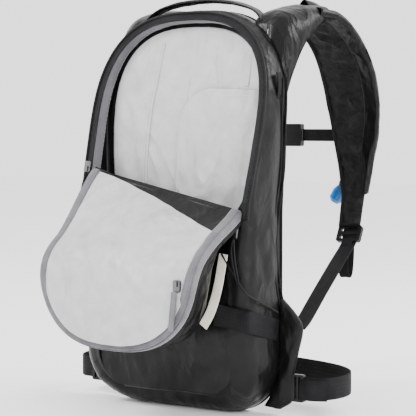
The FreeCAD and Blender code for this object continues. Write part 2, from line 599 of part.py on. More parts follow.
# ---------------------------------------------------------------- hip belt
def make_belt():
    wing = [(112, -100), (140, -117), (149, -131), (140, -160), (135, -184), (135, -213), (118, -225), (96, -228),
            (96, -150)]
    wing = front_prism(Part.makePolygon([at_front(x, z) for x, z in wing + wing[:1]]), -14, -4)
    wing = wing.cut(front_prism(pack_outline(-0.4)))
    lock = rounded_block((16, 6, 31), 2.5, Placement(Vector(143.4, -9, BELT_Z), Rotation()))
    lock = lock.cut(block(139.5, 142.4, -20, 0, BELT_Z - 13, BELT_Z + 13))
    lock = lock.cut(block(144.6, 147.6, -20, 0, BELT_Z - 13, BELT_Z + 13))
    web = [(152.4, -9, -198), (166, -7, -198), (176.5, 2, -197.6), (182.5, 18, -197), (181.5, 38, -196),
           (172, 56, -195), (152, 72, -194), (124, 82, -193), (90, 88, -192), (56, 90.6, -191), (27.6, 91, -190.6)]
    tail = [(153, -11.4, -199), (165, -9.6, -199), (172, -4.6, -199.4)]
    save("belt_wings", Part.makeCompound([wing, mirrored(wing)]))
    save("belt_locks", Part.makeCompound([lock, mirrored(lock)]))
    right = ribbon(web, BELT_WEB, 1.6, (0, 0, 1))
    left = mirrored(ribbon(web[:-1] + [(8, 91, -190.4)], BELT_WEB, 1.6, (0, 0, 1)))
    tail = ribbon(tail, BELT_WEB - 1, 1.6, (0, 0, 1))
    save("belt_webbing_right", Part.makeCompound([right, tail]))
    save("belt_webbing_left", left)
    female, male = side_release(36, 9, 27, BELT_WEB)
    place = Placement(Vector(0, 91, -190.6), Rotation())
    save("belt_buckle_female", placed(female, place))
    save("belt_buckle_male", placed(male, place))


def main():
    os.makedirs("parts", exist_ok=True)
    make_shell()
    make_reservoir()
    make_flap()
    make_zips()
    make_pack_straps()
    make_harness()
    make_valve()
    make_chest_strap()
    make_belt()


main()
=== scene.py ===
# %% [markdown]
# # Hydration pack
# This lesson builds the soft looks of a slim hydration pack around a fixed CAD frame.
# The frame holds the buckles, sliders and joints. Blender adds the cloth: shell, lining, flap, straps.
# Sizes are written in millimetres, as a pattern maker would, and each mesh is scaled once to metres.

# %% Load the frame
import json
import math
import bmesh
import bpy
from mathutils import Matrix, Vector, noise


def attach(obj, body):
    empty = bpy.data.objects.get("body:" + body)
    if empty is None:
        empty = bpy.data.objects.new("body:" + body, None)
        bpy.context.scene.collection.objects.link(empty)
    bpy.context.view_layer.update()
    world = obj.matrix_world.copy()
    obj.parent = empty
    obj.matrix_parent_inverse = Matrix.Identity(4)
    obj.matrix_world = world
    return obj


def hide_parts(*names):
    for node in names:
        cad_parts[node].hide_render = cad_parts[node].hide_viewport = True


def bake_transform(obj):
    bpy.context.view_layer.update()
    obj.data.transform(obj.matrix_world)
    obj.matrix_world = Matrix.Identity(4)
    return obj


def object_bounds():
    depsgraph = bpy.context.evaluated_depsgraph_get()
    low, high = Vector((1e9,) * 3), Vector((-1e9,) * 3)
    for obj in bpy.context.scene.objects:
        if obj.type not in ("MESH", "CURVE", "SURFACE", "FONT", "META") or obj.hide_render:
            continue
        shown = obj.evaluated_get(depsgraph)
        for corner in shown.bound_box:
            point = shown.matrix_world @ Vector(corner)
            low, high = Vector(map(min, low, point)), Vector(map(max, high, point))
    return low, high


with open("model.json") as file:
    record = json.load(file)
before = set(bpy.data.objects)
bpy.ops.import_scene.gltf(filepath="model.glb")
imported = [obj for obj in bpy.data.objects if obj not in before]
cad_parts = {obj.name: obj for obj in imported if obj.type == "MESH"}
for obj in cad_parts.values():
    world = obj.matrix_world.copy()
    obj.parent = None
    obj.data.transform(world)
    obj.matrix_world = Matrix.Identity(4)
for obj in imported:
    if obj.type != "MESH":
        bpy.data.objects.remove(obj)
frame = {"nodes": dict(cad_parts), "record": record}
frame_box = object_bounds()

MM = 0.001
print("frame box", frame_box)

# %% [markdown]
# ## The pack's own lines
# Every panel is cut to the same outline, so the outline is worked out once: flat sides,
# round lower corners and a squarish arch. The rear face leans back over the shoulders and the
# front rim leans towards it, so two small functions give their depth at any height.

# %% Driving lines of the pack
TOP, BOTTOM = 228.0, -228.0
WIDE_HALF, WAIST_HALF, ARCH_FOOT, FOOT_RADIUS = 122.0, 118.0, 100.0, 58.0
HINGE_Y, HINGE_Z = -70.0, 12.0
LEAN_START, LEAN_RADIUS = 50.0, 602.0
FRONT_LINE = [(-228, -50), (-205, -66), (-150, -74), (-60, -74), (12, -70), (228, -16)]


def between(a, b, t):
    return a + (b - a) * t


def ease(t):
    t = min(max(t, 0.0), 1.0)
    return t * t * (3 - 2 * t)


def ripple(x, y, z):
    """Slow, repeatable noise between about -1 and 1."""
    return noise.noise(Vector((x, y, z)))


def rounded(angle, power):
    """Across and up on a unit circle that a power below 1 squares off."""
    c, s = math.cos(angle), math.sin(angle)
    return math.copysign(abs(c) ** power, c), math.copysign(abs(s) ** power, s)


def pick(values, t):
    """A value part of the way along an even list of them."""
    spot = t * (len(values) - 1)
    i = min(int(spot), len(values) - 2)
    return between(values[i], values[i + 1], spot - i)


def back_depth(z):
    if z <= LEAN_START:
        return 0.0
    return LEAN_RADIUS - math.sqrt(LEAN_RADIUS ** 2 - (z - LEAN_START) ** 2)


def front_depth(z):
    for (z0, y0), (z1, y1) in zip(FRONT_LINE, FRONT_LINE[1:]):
        if z <= z1:
            break
    return between(y0, y1, (z - z0) / (z1 - z0))


def arch(half, foot, top, angle, power=2.6):
    c, s = math.cos(angle), math.sin(angle)
    return (math.copysign(half * abs(c) ** (2 / power), c), foot + (top - foot) * abs(s) ** (2 / power))


print("rear leans", round(back_depth(TOP), 1), "mm at the top")

# %% [markdown]
# A cord, a tape and a seam all follow a line. A smooth line through a few points, walked at an
# even pace, is the most useful tool in soft goods, so it comes first.

# %% A smooth line through points
def smooth_line(points, count):
    points = [Vector(p) for p in points]
    closed = [points[0] * 2 - points[1]] + points + [points[-1] * 2 - points[-2]]
    dense = []
    for a, b, c, d in zip(closed, closed[1:], closed[2:], closed[3:]):
        for step in range(12):
            t = step / 12
            dense.append(0.5 * (2 * b + (c - a) * t + (2 * a - 5 * b + 4 * c - d) * t * t
                                + (3 * b - a - 3 * c + d) * t ** 3))
    dense.append(points[-1])
    return even_line(dense, count)


def even_line(dense, count):
    reach = [0.0]
    for a, b in zip(dense, dense[1:]):
        reach.append(reach[-1] + (b - a).length)
    line, at = [], 0
    for i in range(count + 1):
        goal = reach[-1] * i / count
        while at < len(reach) - 2 and reach[at + 1] < goal:
            at += 1
        span = reach[at + 1] - reach[at]
        line.append(dense[at].lerp(dense[at + 1], (goal - reach[at]) / span if span else 0))
    return line


def line_length(line):
    return sum((b - a).length for a, b in zip(line, line[1:]))


def on_line(line, t):
    spot = min(max(t, 0.0), 1.0) * (len(line) - 1)
    i = min(int(spot), len(line) - 2)
    return line[i].lerp(line[i + 1], spot - i)


def heading(line, t):
    return (on_line(line, min(t + 0.01, 1)) - on_line(line, max(t - 0.01, 0))).normalized()


# %% The outline as one closed line
def outline_points():
    right = [Vector((0, 0, BOTTOM)), Vector((30, 0, BOTTOM))]
    for i in range(13):
        a = -math.pi / 2 + math.pi / 2 * i / 12
        right.append(Vector((WAIST_HALF - FOOT_RADIUS + FOOT_RADIUS * math.cos(a), 0,
                             BOTTOM + FOOT_RADIUS + FOOT_RADIUS * math.sin(a))))
    right += [Vector((WAIST_HALF, 0, -80)), Vector((WAIST_HALF, 0, 0)), Vector((WIDE_HALF - 1, 0, 60))]
    for i in range(17):
        x, z = arch(WIDE_HALF, ARCH_FOOT, TOP, math.pi / 2 * i / 16)
        right.append(Vector((x, 0, z)))
    return right + [Vector((-p.x, 0, p.z)) for p in reversed(right[:-1])]


OUTLINE = even_line(outline_points(), 480)


def outline_at(t, inset, y):
    """A point of the outline pulled in by an inset, at a depth; t runs once around from the foot."""
    t = t % 1.0
    p = on_line(OUTLINE, t)
    ahead = on_line(OUTLINE, (t + 0.004) % 1.0) - on_line(OUTLINE, (t - 0.004) % 1.0)
    inward = Vector((-ahead.z, 0, ahead.x)).normalized()
    return Vector((p.x, y, p.z)) + inward * inset


def outline_t(z):
    """Where the outline passes a height on the right-hand side."""
    return min((abs(p.z - z), i) for i, p in enumerate(OUTLINE[:241]))[1] / 480


print("outline", round(line_length(OUTLINE)), "mm around")

# %% [markdown]
# ## Turning a flat grid into cloth
# A piece of cloth starts flat, so each panel starts as a grid. One function moves every grid
# vertex to its place on the pack, and the grid's own UV map is stretched to real size. The weave
# then has the same scale on every piece.

# %% Cut a panel
def cut_panel(columns, rows, place, size=(100, 100), weld=False):
    panel = bmesh.new()
    uv = panel.loops.layers.uv.new("UVMap")
    bmesh.ops.create_grid(panel, x_segments=columns, y_segments=rows, size=0.5, calc_uvs=True)
    for face in panel.faces:
        for loop in face.loops:
            loop[uv].uv = (loop[uv].uv.x * size[0] * MM, loop[uv].uv.y * size[1] * MM)
    for v in panel.verts:
        v.co = Vector(place(v.co.x + 0.5, v.co.y + 0.5)) * MM
    if weld:
        bmesh.ops.remove_doubles(panel, verts=panel.verts, dist=1e-6)
    return panel


def turn_towards(panel, side):
    """Makes the panel's faces look towards a side."""
    panel.normal_update()
    total = sum((f.normal * f.calc_area() for f in panel.faces), Vector())
    if total.dot(Vector(side)) < 0:
        bmesh.ops.reverse_faces(panel, faces=panel.faces)


def cap_and_face_out(panel):
    edges = [e for e in panel.edges if e.is_boundary]
    if edges:
        bmesh.ops.holes_fill(panel, edges=edges, sides=0)
    bmesh.ops.recalc_face_normals(panel, faces=panel.faces)


# %% Sew a panel in place
looks = {}
made = []


def as_object(panel, name, material):
    mesh = bpy.data.meshes.new(name)
    panel.to_mesh(mesh)
    panel.free()
    mesh.materials.append(material)
    piece = bpy.data.objects.new(name, mesh)
    bpy.context.collection.objects.link(piece)
    return piece


def sew(panel, name, look, body=None, blend=None, replaces=(), wall=0.0, side=None):
    """Makes the object: faces out, smooth, with its wall, on its body, or baked in place when a blend is given.
    """
    if side:
        turn_towards(panel, side)
    piece = as_object(panel, name, looks[look])
    for polygon in piece.data.polygons:
        polygon.use_smooth = True
    if wall:
        solid = piece.modifiers.new("wall", "SOLIDIFY")
        solid.thickness, solid.offset = wall * MM, -1
    if blend:
        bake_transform(piece)
    else:
        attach(piece, body)
    if replaces:
        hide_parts(*replaces)
    made.append(piece)
    return piece


# %% [markdown]
# ## Cords, webbing and padded bands
# All three are a cross section carried along a line. The section is a rounded rectangle whose
# power sets how square it is: 2 for a cord, 6 for flat webbing, 3 for a padded strap.

# %% Carry a section along a line
def carry(points, width, thick, across, power=2.0, rows=60, around=16, rumple=0.0):
    line = smooth_line(points, rows)
    length = line_length(line)
    across = Vector(across)

    def size_at(value, t):
        return value if isinstance(value, (int, float)) else pick(value, t)

    def place(u, t):
        p, ahead = on_line(line, t), heading(line, t)
        side = (across - ahead * across.dot(ahead)).normalized()
        out = ahead.cross(side)
        a, b = rounded(2 * math.pi * u, 2 / power)
        a, b = a * size_at(width, t) / 2, b * size_at(thick, t) / 2
        spot = p + side * a + out * b
        if rumple:
            spot += out * rumple * ripple(*(spot * 0.05))
        return spot

    band = cut_panel(around, rows, place, (2 * size_at(width, 0.5), length), weld=True)
    cap_and_face_out(band)
    return band


def join_panels(panels):
    """Several bmeshes as one, for pieces that are sewn as a set."""
    whole = bmesh.new()
    for panel in panels:
        mesh = bpy.data.meshes.new("part")
        panel.to_mesh(mesh)
        panel.free()
        whole.from_mesh(mesh)
        bpy.data.meshes.remove(mesh)
    return whole


def other_side(points):
    return [(-p[0], p[1], p[2]) for p in points]


# %% [markdown]
# ## Shader node groups
# Weave, folds and grain turn up in many of the finishes. Each effect is one node group with named
# inputs, used in each material with its own values. A group only gives heights and masks.

# %% Node helpers
def new_group(name, inputs, outputs):
    group = bpy.data.node_groups.new(name, "ShaderNodeTree")
    for kind, title, value in inputs:
        socket = group.interface.new_socket(title, in_out="INPUT", socket_type=kind)
        if value is not None:
            socket.default_value = value
    for title in outputs:
        group.interface.new_socket(title, in_out="OUTPUT", socket_type="NodeSocketFloat")
    return group, group.nodes.new("NodeGroupInput"), group.nodes.new("NodeGroupOutput")


def sum_of(tree, kind, a, b, clamp=False):
    node = tree.nodes.new("ShaderNodeMath")
    node.operation, node.use_clamp = kind, clamp
    for socket, value in zip(node.inputs, (a, b)):
        if isinstance(value, (int, float)):
            socket.default_value = value
        else:
            tree.links.new(value, socket)
    return node.outputs[0]


def scaled_vector(tree, vector, factor):
    node = tree.nodes.new("ShaderNodeVectorMath")
    node.operation = "MULTIPLY"
    tree.links.new(vector, node.inputs[0])
    if isinstance(factor, tuple):
        node.inputs[1].default_value = factor
    else:
        tree.links.new(factor, node.inputs[1])
    return node.outputs[0]


def noise_node(tree, vector, scale, detail=3.0, distortion=0.0):
    node = tree.nodes.new("ShaderNodeTexNoise")
    tree.links.new(vector, node.inputs["Vector"])
    node.inputs["Detail"].default_value = detail
    node.inputs["Distortion"].default_value = distortion
    if isinstance(scale, (int, float)):
        node.inputs["Scale"].default_value = scale
    else:
        tree.links.new(scale, node.inputs["Scale"])
    return node.outputs["Fac"]


FLOAT, VECTOR = "NodeSocketFloat", "NodeSocketVector"

# %% Weave: over and under threads
weave, start, end = new_group("Weave", [(VECTOR, "Vector", None), (FLOAT, "Threads", 1600.0),
                                        (FLOAT, "Cross threads", 1600.0)], ["Height"])
split = weave.nodes.new("ShaderNodeSeparateXYZ")
weave.links.new(start.outputs["Vector"], split.inputs[0])
waves = []
for axis, threads in (("X", "Threads"), ("Y", "Cross threads")):
    phase = sum_of(weave, "MULTIPLY", split.outputs[axis], start.outputs[threads])
    waves.append(sum_of(weave, "SINE", phase, 0))
weave.links.new(sum_of(weave, "MULTIPLY", *waves), end.inputs["Height"])
print("group", weave.name)

# %% Folds: long soft creases in thin cloth
folds, start, end = new_group("Folds", [(VECTOR, "Vector", None), (FLOAT, "Size", 14.0)],
                              ["Height", "Mask"])
broad = noise_node(folds, start.outputs["Vector"], start.outputs["Size"], 2.0, 0.6)
ridge = sum_of(folds, "ABSOLUTE", sum_of(folds, "SUBTRACT", broad, 0.5), 0)
slope = sum_of(folds, "SUBTRACT", 1.0, sum_of(folds, "MULTIPLY", ridge, 3.0), True)
sharp = sum_of(folds, "POWER", slope, 2.0)
smaller = sum_of(folds, "MULTIPLY", start.outputs["Size"], 2.6)
soft_part = noise_node(folds, start.outputs["Vector"], smaller, 3.0, 0.3)
crest = sum_of(folds, "MULTIPLY", sharp, 0.55)
folds.links.new(sum_of(folds, "ADD", crest, soft_part), end.inputs["Height"])
folds.links.new(sharp, end.inputs["Mask"])
print("group", folds.name)

# %% Grain: the fine pebble of moulded plastic and rubber
grain, start, end = new_group("Grain", [(VECTOR, "Vector", None), (FLOAT, "Size", 1800.0)],
                              ["Height", "Mask"])
pebble = noise_node(grain, start.outputs["Vector"], start.outputs["Size"], 2.0)
patch = noise_node(grain, start.outputs["Vector"], 35.0, 4.0)
grain.links.new(pebble, end.inputs["Height"])
grain.links.new(patch, end.inputs["Mask"])
print("group", grain.name)


# %% [markdown]
# ## Finishes
# One maker builds each finish: a base colour with slow variation, a roughness that follows it,
# and a bump built from weave and folds. Uniform values such as sheen sit on the shader itself.

# %% Start a finish
def start_finish(name, rough, sheen=0.0, specular=0.5, metal=0.0):
    material = bpy.data.materials.new(name)
    material.use_nodes = True
    tree = material.node_tree
    shader = tree.nodes["Principled BSDF"]
    shader.inputs["Roughness"].default_value = rough
    shader.inputs["Sheen Weight"].default_value = sheen
    shader.inputs["Sheen Roughness"].default_value = 0.4
    shader.inputs["Specular IOR Level"].default_value = specular
    shader.inputs["Metallic"].default_value = metal
    return material, tree, shader


def place_group(tree, group, vector, **values):
    node = tree.nodes.new("ShaderNodeGroup")
    node.node_tree = group
    tree.links.new(vector, node.inputs["Vector"])
    for title, value in values.items():
        node.inputs[title.replace("_", " ")].default_value = value
    return node


def shade(tree, shader, factor, dark, light, low=0.3, high=0.7):
    ramp = tree.nodes.new("ShaderNodeValToRGB")
    ramp.color_ramp.elements[0].position, ramp.color_ramp.elements[1].position = low, high
    ramp.color_ramp.elements[0].color = (*dark, 1)
    ramp.color_ramp.elements[1].color = (*light, 1)
    tree.links.new(factor, ramp.inputs[0])
    tree.links.new(ramp.outputs[0], shader.inputs["Base Color"])
    return ramp


def roughen(tree, shader, factor, low, high):
    spread = tree.nodes.new("ShaderNodeMapRange")
    spread.inputs["To Min"].default_value, spread.inputs["To Max"].default_value = low, high
    tree.links.new(factor, spread.inputs["Value"])
    tree.links.new(spread.outputs[0], shader.inputs["Roughness"])


def raise_bumps(tree, shader, layers):
    """layers: (height socket, depth in mm), the coarsest first."""
    normal = None
    for height, depth in layers:
        bump = tree.nodes.new("ShaderNodeBump")
        bump.inputs["Strength"].default_value = 1.0
        bump.inputs["Distance"].default_value = depth * MM
        tree.links.new(height, bump.inputs["Height"])
        if normal:
            tree.links.new(normal, bump.inputs["Normal"])
        normal = bump.outputs[0]
    tree.links.new(normal, shader.inputs["Normal"])


# %% Cloth finishes
def cloth_finish(name, dark, light, rough, fold_size=14.0, fold_depth=2.0, threads=(1500.0, 1500.0),
                 weave_depth=0.05, sheen=0.2, specular=0.5, stretch=(1, 1, 1), on_uv=True):
    material, tree, shader = start_finish(name, rough[0], sheen, specular)
    coordinate = tree.nodes.new("ShaderNodeTexCoord")
    spread = scaled_vector(tree, coordinate.outputs["Object"], stretch)
    crease = place_group(tree, folds, spread, Size=fold_size)
    source = coordinate.outputs["UV"] if on_uv else coordinate.outputs["Object"]
    threads_node = place_group(tree, weave, source, Threads=threads[0], Cross_threads=threads[1])
    tone = noise_node(tree, coordinate.outputs["Object"], 60.0, 5.0)
    shade(tree, shader, tone, dark, light)
    roughen(tree, shader, tone, rough[0], rough[1])
    raise_bumps(tree, shader, [(crease.outputs["Height"], fold_depth),
                               (threads_node.outputs["Height"], weave_depth)])
    looks[name] = material
    return material


cloth_finish("shell_fabric", (0.0024, 0.0024, 0.0027), (0.0045, 0.0045, 0.0048), (0.28, 0.38), 9.0, 3.6,
             (6000, 6000), 0.02, 0.0, 0.17, (1.4, 1.4, 0.8))
cloth_finish("strap_satin", (0.002, 0.002, 0.0023), (0.004, 0.004, 0.0043), (0.26, 0.38), 20.0, 4.0,
             (6000, 6000), 0.02, 0.0, 0.14, (1, 1, 0.45))
cloth_finish("pale_lining", (0.38, 0.384, 0.392), (0.45, 0.454, 0.462), (0.36, 0.48), 9.0, 9.0,
             (5200, 5200), 0.02, 0.15, 0.4, (1, 1, 0.6))
cloth_finish("grey_binding", (0.085, 0.083, 0.094), (0.13, 0.127, 0.14), (0.6, 0.75), 40.0, 0.3,
             (900, 3600), 0.12, 0.3, 0.3)
cloth_finish("webbing", (0.004, 0.004, 0.0045), (0.01, 0.01, 0.011), (0.55, 0.7), 40.0, 0.2,
             (2400, 3000), 0.22, 0.0, 0.1)
cloth_finish("cream_webbing", (0.72, 0.67, 0.55), (0.86, 0.82, 0.72), (0.6, 0.75), 40.0, 0.3,
             (2200, 3000), 0.16, 0.3, 0.3)
cloth_finish("mesh", (0.002, 0.002, 0.0023), (0.006, 0.006, 0.0065), (0.4, 0.55), 16.0, 9.0,
             (2600, 2600), 0.2, 0.0, 0.15)
cloth_finish("cord", (0.004, 0.004, 0.0045), (0.012, 0.012, 0.013), (0.5, 0.7), 60.0, 0.1,
             (5000, 2600), 0.2, 0.0, 0.15)
cloth_finish("zip_tape", (0.004, 0.004, 0.0045), (0.009, 0.009, 0.01), (0.35, 0.5), 50.0, 0.2,
             (700, 4200), 0.35, 0.0, 0.15)
cloth_finish("foam", (0.004, 0.004, 0.0045), (0.01, 0.01, 0.011), (0.7, 0.85), 20.0, 0.8,
             (1700, 1700), 0.4, 0.0, 0.1, on_uv=False)
cloth_finish("thread_pale", (0.75, 0.75, 0.77), (0.9, 0.9, 0.92), (0.6, 0.7), 60.0, 0.05, on_uv=False)
cloth_finish("thread_dark", (0.03, 0.03, 0.032), (0.06, 0.06, 0.063), (0.5, 0.6), 60.0, 0.05,
             on_uv=False)
print(len(looks), "cloth finishes")

# %% Hard finishes
def hard_finish(name, dark, light, rough, grain_size=1800.0, depth=0.03, metal=0.0, specular=0.5):
    material, tree, shader = start_finish(name, rough[0], 0.0, specular, metal)
    coordinate = tree.nodes.new("ShaderNodeTexCoord")
    pebbles = place_group(tree, grain, coordinate.outputs["Object"], Size=grain_size)
    shade(tree, shader, pebbles.outputs["Mask"], dark, light)
    roughen(tree, shader, pebbles.outputs["Mask"], rough[0], rough[1])
    raise_bumps(tree, shader, [(pebbles.outputs["Height"], depth)])
    looks[name] = material
    return shader


hard_finish("black_plastic", (0.004, 0.004, 0.0045), (0.009, 0.009, 0.0095), (0.3, 0.45), specular=0.22)
hard_finish("hose_rubber", (0.007, 0.007, 0.008), (0.012, 0.012, 0.013), (0.22, 0.34), 900.0, 0.015)
hard_finish("zip_metal", (0.08, 0.08, 0.085), (0.17, 0.17, 0.175), (0.28, 0.42), 1500.0, 0.02, 1.0)
hard_finish("sheet_plastic", (0.03, 0.03, 0.032), (0.05, 0.05, 0.052), (0.4, 0.55))
film = hard_finish("clear_film", (0.5, 0.6, 0.66), (0.62, 0.72, 0.78), (0.18, 0.3), 60.0, 0.4)
film.inputs["Alpha"].default_value = 0.6
silicone = hard_finish("blue_silicone", (0.0, 0.10, 0.36), (0.0, 0.15, 0.46), (0.28, 0.4), 500.0, 0.03)
silicone.inputs["Subsurface Weight"].default_value = 0.25
silicone.inputs["Subsurface Scale"].default_value = 0.004
print(len(looks), "finishes in all")

# %% Dress the frame's own pieces
for entry in frame["record"]["subparts"]:
    node = frame["nodes"][entry["node"]]
    for slot in node.material_slots:
        slot.material = looks[entry["material_slot"]]
print(len(frame["nodes"]), "frame pieces dressed")

# %% [markdown]
# ## The shell
# The shell is a long strip sewn around the pack, from the rear seam over the side to the front
# rim, where it turns in as a narrow flange for the zip. Below the flap the same strip meets the
# lower front panel at a top-stitched seam. Thin nylon never lies flat, so slow noise pushes the
# strip in and out by a few millimetres.

# %% Section of the shell strip
CORNER_HIGH, CORNER_LOW = 6.0, 20.0
FLANGE, SEAM_IN = 9.0, 26.0
REAR_SEAM = 7.0


def shell_at(t, v):
    z = on_line(OUTLINE, t).z
    low = ease((HINGE_Z + 10 - z) / 40)
    corner = between(CORNER_HIGH, CORNER_LOW, low)
    front, rear = front_depth(z), back_depth(z) - REAR_SEAM
    if v < 0.6:
        f = v / 0.6
        inset = -2.4 * math.sin(math.pi * f)
        y = between(rear, front + corner, f)
    elif v < 0.85:
        a = (v - 0.6) / 0.25 * math.pi / 2
        inset, y = corner * (1 - math.cos(a)), front + corner * (1 - math.sin(a))
    else:
        f = (v - 0.85) / 0.15
        inset, y = between(corner, between(FLANGE, SEAM_IN, low), f), front - 1.5 * low * f
    spot = outline_at(t, inset, y)
    rumple = ripple(spot.x * 0.02, spot.y * 0.035, spot.z * 0.014)
    fine = noise.noise(Vector((spot.x * 0.05, spot.y * 0.06, spot.z * 0.03)) + Vector((7, 3, 1)))
    swell = math.sin(math.pi * min(v / 0.85, 1.0))
    depth = (2.6 * rumple + 1.2 * fine) * swell * between(0.6, 1.3, low)
    return spot + (spot - Vector((0, -30, spot.z))).normalized() * depth


wall_panel = cut_panel(420, 36, shell_at, (1300, 110), weld=True)
bmesh.ops.recalc_face_normals(wall_panel, faces=wall_panel.faces)
turn_towards(wall_panel, (0, -1, 0))
sew(wall_panel, "shell_wall", "shell_fabric", "pack", wall=1.2,
    replaces=("side_panel_right", "side_panel_left", "top_panel", "bottom_panel"))


# %% Lower front panel
def half_width(z, inset):
    reach = FOOT_RADIUS - inset
    if z < BOTTOM + FOOT_RADIUS:
        rise = min(abs(z - BOTTOM - FOOT_RADIUS), reach)
        return WAIST_HALF - FOOT_RADIUS + math.sqrt(max(reach ** 2 - rise ** 2, 0))
    return between(WAIST_HALF, WIDE_HALF, max(z, 0) / ARCH_FOOT) - inset


def front_at(u, t):
    z = between(HINGE_Z + 2 - 16 * ease((u - 0.55) / 0.4), BOTTOM + SEAM_IN - 5, t)
    x = (2 * u - 1) * half_width(z, SEAM_IN - 3)
    crown = 1 - (2 * u - 1) ** 2
    rumple = ripple(x * 0.016, 4.0, z * 0.024) + 0.5 * ripple(x * 0.04, 9.0, z * 0.05)
    puff = 3.0 * crown * math.sin(math.pi * t) + 3.2 * rumple * math.sqrt(crown)
    return (x, front_depth(z) + 0.6 - puff, z)


sew(cut_panel(110, 110, front_at, (200, 220)), "lower_front", "shell_fabric", "pack",
    replaces=("lower_front_panel",), wall=1.2, side=(0, -1, 0))


print("shell sewn")

# %% [markdown]
# ## Inside the opening
# Four things line the opening, from the zip inwards: the zip band on the flange, a grey binding
# tape, the black inner wall and the pale lining on the back. Each is a strip that follows the
# arch, so all four use one place function with an inset and a depth.

# %% Strips that follow the arch
ARCH_FROM = outline_t(-8.0)


def arch_t(u):
    return between(ARCH_FROM, 1 - ARCH_FROM, u)


def rim_at(u, inset, behind):
    t = arch_t(u)
    z = on_line(OUTLINE, t).z
    spot = outline_at(t, inset, 0)
    spot.y = front_depth(max(spot.z, HINGE_Z - 20)) + behind
    return spot


def zip_band(u, v):
    return rim_at(u, between(1.5, FLANGE + 1.5, v), -1.2 - 0.9 * math.sin(math.pi * v))


def binding_strip(u, v):
    wave = 0.5 * ripple(u * 30, 2, 0)
    inset = FLANGE + between(0.5, 4.0, v) + 0.6 * math.sin(math.pi * v) + wave
    return rim_at(u, inset, between(-1.5, 12.0, v))


def inner_wall(u, v):
    inset = between(FLANGE - 1.0, 7.0, ease(v * 2)) + 12 * ease((v - 0.55) / 0.45)
    spot = rim_at(u, inset, 8.0)
    deep = LINING_FRONT + back_depth(spot.z)
    spot.y = between(spot.y, deep, math.sin(min(v * 1.25, 1) * math.pi / 2))
    return spot


LINING_FRONT = -28.0
sew(cut_panel(260, 6, zip_band, (850, 10)), "zip_band", "zip_tape", "pack",
    replaces=("opening_zip_tape",), wall=0.8, side=(0, -1, 0))
sew(cut_panel(260, 6, binding_strip, (850, 10)), "rim_binding", "grey_binding", "pack",
    replaces=("opening_binding",), wall=0.8)
sew(cut_panel(260, 14, inner_wall, (850, 50)), "inner_wall", "shell_fabric", "pack")
print("opening lined with", len(made), "pieces so far")

# %% Zip coil on the rim
coil = [rim_at(i / 60, 1.2, -1.6) for i in range(61)]
sew(carry(coil, 3.2, 3.2, (0, 1, 0), rows=300, around=8), "zip_coil", "zip_tape", "pack")


# %% [markdown]
# The lining is one sheet that runs from the inner wall to the middle of the back. Its rings
# follow the arch, so its edge meets the wall without a step. It hangs a little slack, which
# shows as slow vertical waves.

# %% Pale lining
def lining_y(x, z):
    slack = 1.8 * ripple(x * 0.02, 1.0, z * 0.009) + 0.8 * ripple(x * 0.05, 6.0, z * 0.03)
    return LINING_FRONT + back_depth(z) - slack


def lining_at(u, v):
    edge = rim_at(u, 17.5, 0)
    spine = min(max(edge.z, -6), 150)
    x, z = edge.x * (1 - v), between(edge.z, spine, v)
    y = lining_y(x, z)
    return (x, between(LINING_FRONT + back_depth(z) - 1.0, y, ease(v * 4)), z)


sew(cut_panel(160, 60, lining_at, (300, 300)), "lining", "pale_lining", "pack",
    replaces=("compartment_lining",), wall=0.8, side=(0, -1, 0))

# %% Slip pocket on the lining
POCKET_RIGHT, POCKET_TOP, POCKET_LEFT, POCKET_RADIUS = 104.0, 138.0, -9.0, 46.0


def pocket_top(x):
    """Height of the pocket's edge above a point of its width."""
    run = min(max((POCKET_LEFT + POCKET_RADIUS - x) / POCKET_RADIUS, 0), 1)
    return POCKET_TOP - POCKET_RADIUS * (1 - math.sqrt(1 - run * run)) - 0.03 * (x - 60)


def pocket_at(u, t):
    z_low = -14.0
    left = POCKET_LEFT - 6 * (1 - t)
    x = between(left, POCKET_RIGHT, u)
    z = between(z_low, pocket_top(max(x, POCKET_LEFT)), t)
    gather = 1.6 * math.sin(x * 0.35) * ease((t - 0.8) * 5) * ease((x - 60) / 40)
    lift = 2.2 + 3.0 * math.sin(math.pi * u) * t + gather
    return (x, lining_y(x, z) - lift, z)


sew(cut_panel(90, 70, pocket_at, (120, 150)), "slip_pocket", "pale_lining", "pack", wall=0.9,
    side=(0, -1, 0))

# %% [markdown]
# Seams are what make cloth look sewn. A row of stitches is one small bead, repeated along a line.
# A bead has a few dozen faces, since there are hundreds of them.

# %% A row of stitches
def stitch_row(points, pitch=3.0, length=2.0, thick=0.5, out=(0, -1, 0)):
    rough_line = smooth_line(points, 200)
    count = max(int(line_length(rough_line) / pitch), 2)
    line = even_line(rough_line, count)
    row = bmesh.new()
    for a, b in zip(line, line[1:]):
        ahead = (b - a).normalized()
        before = len(row.verts)
        bmesh.ops.create_icosphere(row, subdivisions=1, radius=1.0)
        row.verts.ensure_lookup_table()
        side = Vector(out).cross(ahead).normalized()
        for v in row.verts[before:]:
            v.co = ((a + b) / 2 + ahead * v.co.x * length / 2 + side * v.co.y * thick / 2
                    + Vector(out) * v.co.z * thick / 2) * MM
    return row


def seam_ridge(points, width=4.0, thick=2.0):
    return carry(points, width, thick, (1, 0, 0), power=2.5, rows=60, around=8)


def on_lining(points, lift):
    return [(x, lining_y(x, z) - lift, z) for x, z in points]


